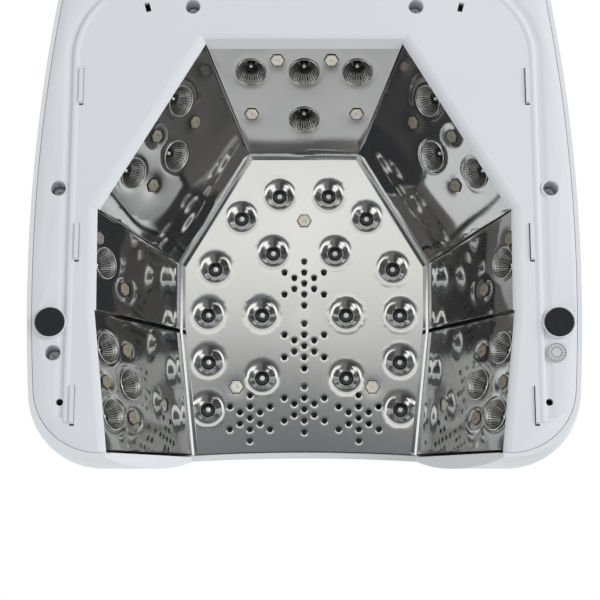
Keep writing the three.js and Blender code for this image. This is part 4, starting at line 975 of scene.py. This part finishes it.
for end, (foot_x, foot_y) in FEET.items():
    for side, word in ((1, "right"), (-1, "left")):
        foot = turned(f"rubber_foot_{end}_{word}", [
            (0, 0.05), (4.4, 0.0), (5.3, 0.0), (5.63, 0.1), (FOOT_RADIUS, 0.4), (FOOT_RADIUS, FOOT_THICKNESS),
            (0, FOOT_THICKNESS)], 64, side * foot_x, foot_y)
        settle(foot, "housing", rubber, [f"foot_{end}_{word}"])


def make_seal():
    """A thin round seal whose ring is divided into sixteen empty cells."""
    x, y, low, high, steps = -103.5, -68.3, 1.5, 1.7, 144
    rings = [level(circle(x, y, radius, steps), low) for radius in (1.9, 2.2, 3.6, 3.9, 4.1)]
    seal = loft("foil_seal", rings + [level(circle(x, y, 4.1, steps), high)])
    inked = [ring in (0, 2) or (ring == 1 and i % 9 < 2) for ring in range(5) for i in range(steps)]
    paint(seal, (seal_paper, seal_ink), [False] + inked + [False])
    settle(seal, "housing", None, ["seal_disc"])


make_seal()


def make_screws():
    seat = 11.9
    head = turned("screw", [(0, seat - 1.9), (1.6, seat - 1.85), (2.3, seat - 1.6), (2.7, seat - 1.15),
                            (2.75, seat - 0.7), (2.75, seat), (1.35, seat), (1.35, seat + 10.4),
                            (0.7, seat + 11), (0, seat + 11)], 40)
    cross = [block("recess", size, (0, 0, seat - 1.9)) for size in ((2.6, 0.6, 2), (0.6, 2.6, 2))]
    combine(head, cross, "DIFFERENCE")
    for k, (x, y) in enumerate(mirrored(SCREWS)):
        screw = new_object(f"cross_head_screw_{k + 1}", head.data)
        screw.location = Vector((x, y, 0)) * MM
        screw.rotation_euler.z = dice.uniform(0, 1.5)
        settle(screw, "housing", None, [f"case_screw_{k + 1}"])
    # The screws, and the socket's pin and sleeve, take the nickel darkened as painted shade
    head.data.materials.append(nickel_painted_shade)
    bpy.data.objects.remove(head)


make_screws()


# Deck controls

def make_buttons():
    top = HEIGHT + 0.8
    low, flange = CONTROL_BOARD_FACE + 1.1, HEIGHT - WALL - GAP
    profile = [(0, low), (2, low), (2, flange - 1.2), (8, flange - 1.2), (8, flange), (6.5, flange),
               (6.5, top - 0.55), (6.42, top - 0.28), (6.2, top - 0.08), (5.9, top), (5.4, top - 0.02),
               (4.2, top - 0.22), (2.4, top - 0.38), (0, top - 0.42)]
    for k, (x, y) in enumerate(BUTTONS):
        cap = turned(f"button_cap_{k + 1}", profile, 64, x, y)
        settle(cap, f"timer_button_{k + 1}", button_white, [f"timer_button_{k + 1}"])


make_buttons()


def make_window():
    outline, inner = rounded_rectangle(46, 20, 4, 12), rounded_rectangle(45.4, 19.4, 3.7, 12)
    steps = [(outline, 1, 1, 0.8), (outline, 1, 1, 0.3), (outline, 0.997, 0.994, 0.08), (inner, 1, 1, 0)]
    pane = loft("smoked_pane", [[(x * wide, y * deep + DISPLAY_ROW, HEIGHT - drop) for x, y in loop]
                                for loop, wide, deep, drop in steps])
    settle(pane, "housing", smoked_acrylic, ["display_window"])


make_window()


# Rear connections: switch housing, rocker and charging socket

def face_rear(piece, x):
    """Turns a piece made facing +Z so that it faces the rear at the pad."""
    return place(piece, spot_matrix(x, PAD_FACE, PAD_MIDDLE, -math.pi / 2))


def make_switch():
    bezel = loft("switch_bezel", [level(rounded_rectangle(22 - 2 * i, 16 - 2 * i, 1.2), z)
                                  for i, z in ((0, 0.3), (0, 1.1), (0.12, 1.38), (0.4, 1.5))])
    body = prism("body", rounded_rectangle(19, 13, 0.4, 3), -14, 0.5)
    combine(bezel, [body], "UNION")
    combine(bezel, [prism("bore", rounded_rectangle(16, 10, 0.3, 3), -12.5, 3)], "DIFFERENCE")
    face_rear(bezel, SWITCH_SIDE)
    settle(bezel, "housing", black_polyamide, ["switch_housing"])


def make_rocker():
    """A shallow V that tips about its middle; at rest its lower half is pressed in."""
    half_height, half_width, tilt = 4.4, 7.7, math.radians(7)
    slope = math.tan(tilt)
    section = [(-half_height, -1.8), (half_height, -1.8)]
    for k in range(8, -9, -1):
        section.append((half_height * k / 8, 1.8 + half_height * slope * (abs(k) / 8) ** 1.3))
    body = loft("rocker", [[(x, outward, up) for up, outward in section] for x in (-half_width, half_width)])
    clean(body)
    step = body.modifiers.new("edge", "BEVEL")
    step.width, step.segments, step.limit_method, step.angle_limit = 0.25 * MM, 2, "ANGLE", math.radians(50)
    apply_modifiers(body)
    body.data.materials.append(black_polyamide)
    parts = [body]
    bar = prism("mark", rounded_rectangle(0.5, 2.2, 0.2, 3), -0.05, 0.05)
    ring = turned("mark", [(0.75, -0.05), (1.15, -0.05), (1.15, 0.05), (0.75, 0.05)], 32)
    for mark, up in ((ring, 2.6), (bar, -2.6)):
        mark.data.materials.append(mark_white)
        outward = 1.8 + half_height * slope * (abs(up) / half_height) ** 1.3 + 0.03
        parts.append(place(mark, spot_matrix(0, outward, up, -math.pi / 2 + math.copysign(tilt, up))))
    rocker = gather("switch_rocker", parts)
    place(rocker, spot_matrix(SWITCH_SIDE, PAD_FACE - 1, PAD_MIDDLE, -tilt))
    settle(rocker, "power_switch", None, ["power_switch"])


def make_socket():
    body = turned("socket_body", [(0, -12), (4, -12), (4, 0.3), (5.6, 0.3), (5.6, 1.1), (5.45, 1.4),
                                  (5.1, 1.5), (3.2, 1.5), (2.9, 1.42), (2.75, 1.1), (2.75, -10),
                                  (0, -10)], 56)
    body.data.materials.append(black_polyamide)
    pin = turned("socket_pin", [(0, -10.2), (0.98, -10.2), (0.98, -1.3), (0.8, -1.05), (0.4, -1), (0, -1)],
                 24)
    sleeve = turned("socket_sleeve", [(2.45, -9.9), (2.74, -9.9), (2.74, 0.2), (2.45, 0.2)], 48)
    for piece in (pin, sleeve):
        piece.data.materials.append(nickel_painted_shade)
    whole = gather("dc_socket", [body, pin, sleeve])
    face_rear(whole, -SWITCH_SIDE)
    settle(whole, "housing", None, ["charging_socket"])


make_switch()
make_rocker()
make_socket()


# Pieces inside the casing keep their CAD shape

for name, finish in {"control_board": green_board, "battery_tray": grey_polystyrene,
                     "battery_pack": blue_sleeve}.items():
    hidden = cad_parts[name]
    hidden.data.materials.clear()
    hidden.data.materials.append(finish)


# Stage: a pale floor under the feet that only someone above it sees, and the studio's light

def make_floor():
    far = 6000
    corners = [(-far, -far, 0), (far, -far, 0), (far, far, 0), (-far, far, 0)]
    floor = new_mesh("floor", corners, [[0, 1, 2, 3]])
    material = bpy.data.materials.new("pale_floor")
    material.use_nodes = True
    tree = material.node_tree
    tree.nodes.clear()
    path = add(tree, "LightPath")
    side = add(tree, "NewGeometry")
    above = add(tree, "Math", {"operation": "SUBTRACT"},
                {0: path.outputs["Is Camera Ray"], 1: side.outputs["Backfacing"]})
    pale = add(tree, "BsdfDiffuse", {}, {"Color": linear("F4F4F3")})
    clear = add(tree, "BsdfTransparent")
    mix = add(tree, "MixShader", {}, {0: above.outputs[0], 1: clear.outputs[0], 2: pale.outputs[0]})
    add(tree, "OutputMaterial", {}, {"Surface": mix.outputs[0]})
    floor.data.materials.append(material)


# Softboxes on a plane under the lamp, for metal to mirror: centre and half sizes across and along the lamp
# as shares of the plane's distance, widths of the soft edges across and along, and strength
SOFTBOXES = [
    (0.0, 0.302, 0.45, 0.062, 0.2, 0.03, 1.25),
    (0.0, 0.55, 0.55, 0.25, 0.2, 0.12, 0.9),
    (0.93, 0.05, 0.52, 0.37, 0.14, 0.24, 1.5),
    (-0.95, 0.0, 0.52, 0.42, 0.1, 0.1, 1.5),
    (-0.95, -0.62, 0.55, 0.25, 0.1, 0.1, 0.78),
    (1.3, -0.9, 0.55, 0.4, 0.2, 0.2, 1.6),
    (-1.3, -0.9, 0.55, 0.4, 0.2, 0.2, 1.6),
]
DARK_SIDE, PALE_SIDE, REAR_SIDE = (0.08, 0.08, 0.085, 1), (0.235, 0.225, 0.22, 1), (0.16, 0.175, 0.19, 1)
FRONT_HORIZON, REAR_HORIZON = (0.64, 0.64, 0.64, 1), (0.15, 0.15, 0.155, 1)


def make_world():
    """A white studio above the horizon. Below it metal and glass see a dim room with softboxes in it, and
    matt surfaces get even light."""
    world = bpy.data.worlds.new("studio")
    bpy.context.scene.world = world
    world.use_nodes = True
    tree = world.node_tree
    tree.nodes.clear()
    direction = add(tree, "TexCoord").outputs["Generated"]
    parts = add(tree, "SeparateXYZ", {}, {"Vector": direction}).outputs

    def fade(axis, start, end, first, second):
        """Goes from a first to a second colour as the direction's part along an axis rises."""
        share = add(tree, "MapRange", {"interpolation_type": "SMOOTHSTEP"},
                    {"Value": parts[axis], "From Min": start, "From Max": end}).outputs["Result"]
        return add(tree, "Mix", {"data_type": "RGBA"}, {"Factor": share, 6: first, 7: second}).outputs[2]

    room = fade("Y", -0.05, 0.12, fade("X", -0.12, 0.12, PALE_SIDE, DARK_SIDE), REAR_SIDE)
    room = fade("Z", -0.25, -0.02, room, fade("Y", -1, 1, FRONT_HORIZON, REAR_HORIZON))
    room = fade("Z", 0.05, 0.2, room, (1, 1, 1, 1))
    drop = add(tree, "Math", {"operation": "MULTIPLY"}, {0: parts["Z"], 1: -1.0}).outputs[0]
    drop = add(tree, "Math", {"operation": "MAXIMUM"}, {0: drop, 1: 0.02}).outputs[0]
    on_plane = [add(tree, "Math", {"operation": "DIVIDE"}, {0: parts[axis], 1: drop}).outputs[0]
                for axis in ("X", "Y")]
    for *box, strength in SOFTBOXES:
        share = strength
        for along_axis, middle, half, edge in zip(on_plane, box[0:2], box[2:4], box[4:6]):
            away = add(tree, "Math", {"operation": "SUBTRACT"}, {0: along_axis, 1: middle}).outputs[0]
            away = add(tree, "Math", {"operation": "ABSOLUTE"}, {0: away}).outputs[0]
            share = add(tree, "MapRange", {"interpolation_type": "SMOOTHSTEP"}, {
                "Value": away, "From Min": half + edge / 2, "From Max": half - edge / 2, "To Max": share})
            share = share.outputs["Result"]
        glow = add(tree, "CombineColor", {}, {"Red": share, "Green": share, "Blue": share}).outputs["Color"]
        room = add(tree, "Mix", {"data_type": "RGBA", "blend_type": "LIGHTEN"},
                   {"Factor": 1.0, 6: room, 7: glow}).outputs[2]
    path = add(tree, "LightPath").outputs
    seen = add(tree, "Math", {"operation": "MAXIMUM"}, {0: path["Is Camera Ray"], 1: path["Is Glossy Ray"]})
    seen = add(tree, "Math", {"operation": "MAXIMUM"}, {0: seen.outputs[0], 1: path["Is Transmission Ray"]})
    backdrop = add(tree, "Background", {}, {"Color": room, "Strength": 1.0}).outputs[0]
    even = add(tree, "Background", {}, {"Color": (0.98, 0.99, 1.0, 1), "Strength": 0.67}).outputs[0]
    mix = add(tree, "MixShader", {}, {0: seen.outputs[0], 1: even, 2: backdrop})
    add(tree, "OutputWorld", {}, {"Surface": mix.outputs[0]})


def make_lamp(name, position, target, width, height, watts):
    """A rectangular lamp that faces a point. Metal mirrors the world's softboxes instead of it."""
    light = bpy.data.lights.new(name, "AREA")
    light.shape, light.size, light.size_y, light.energy = "RECTANGLE", width, height, watts
    lamp = new_object(name, light)
    lamp.location = position
    aim = Vector(target) - Vector(position)
    lamp.rotation_euler = aim.to_track_quat("-Z", "Y").to_euler()
    lamp.visible_glossy = False


def make_camera():
    camera = new_object("camera", bpy.data.cameras.new("camera"))
    camera.data.lens, camera.data.sensor_width = 120, 36
    camera.data.clip_start, camera.data.clip_end = 0.01, 100
    tilt = math.radians(15)
    forward, up = Vector((0, math.sin(tilt), math.cos(tilt))), Vector((0, math.cos(tilt), -math.sin(tilt)))
    turn = Matrix((forward.cross(up), up, -forward)).transposed().to_4x4()
    camera.matrix_world = Matrix.Translation(Vector((1.86, -260.0, -796.8)) * MM) @ turn
    bpy.context.scene.camera = camera


make_floor()
make_world()
make_lamp("lamp_below_side", (-1.5, 0.55, -0.79), (0, 0, 0.02), 0.8, 0.8, 21.0)
make_lamp("lamp_below_front", (1.0, -1.2, -0.5), (0, -0.05, 0.03), 0.9, 0.9, 5.0)
make_lamp("lamp_above_front", (-0.3, -0.9, 1.5), (0, 0, 0.04), 1.2, 1.2, 5.0)
make_lamp("lamp_above_rear", (0.9, 1.1, 1.2), (0, 0, 0.04), 0.9, 0.9, 8.0)
make_camera()
bpy.context.scene.view_settings.view_transform = "Standard"
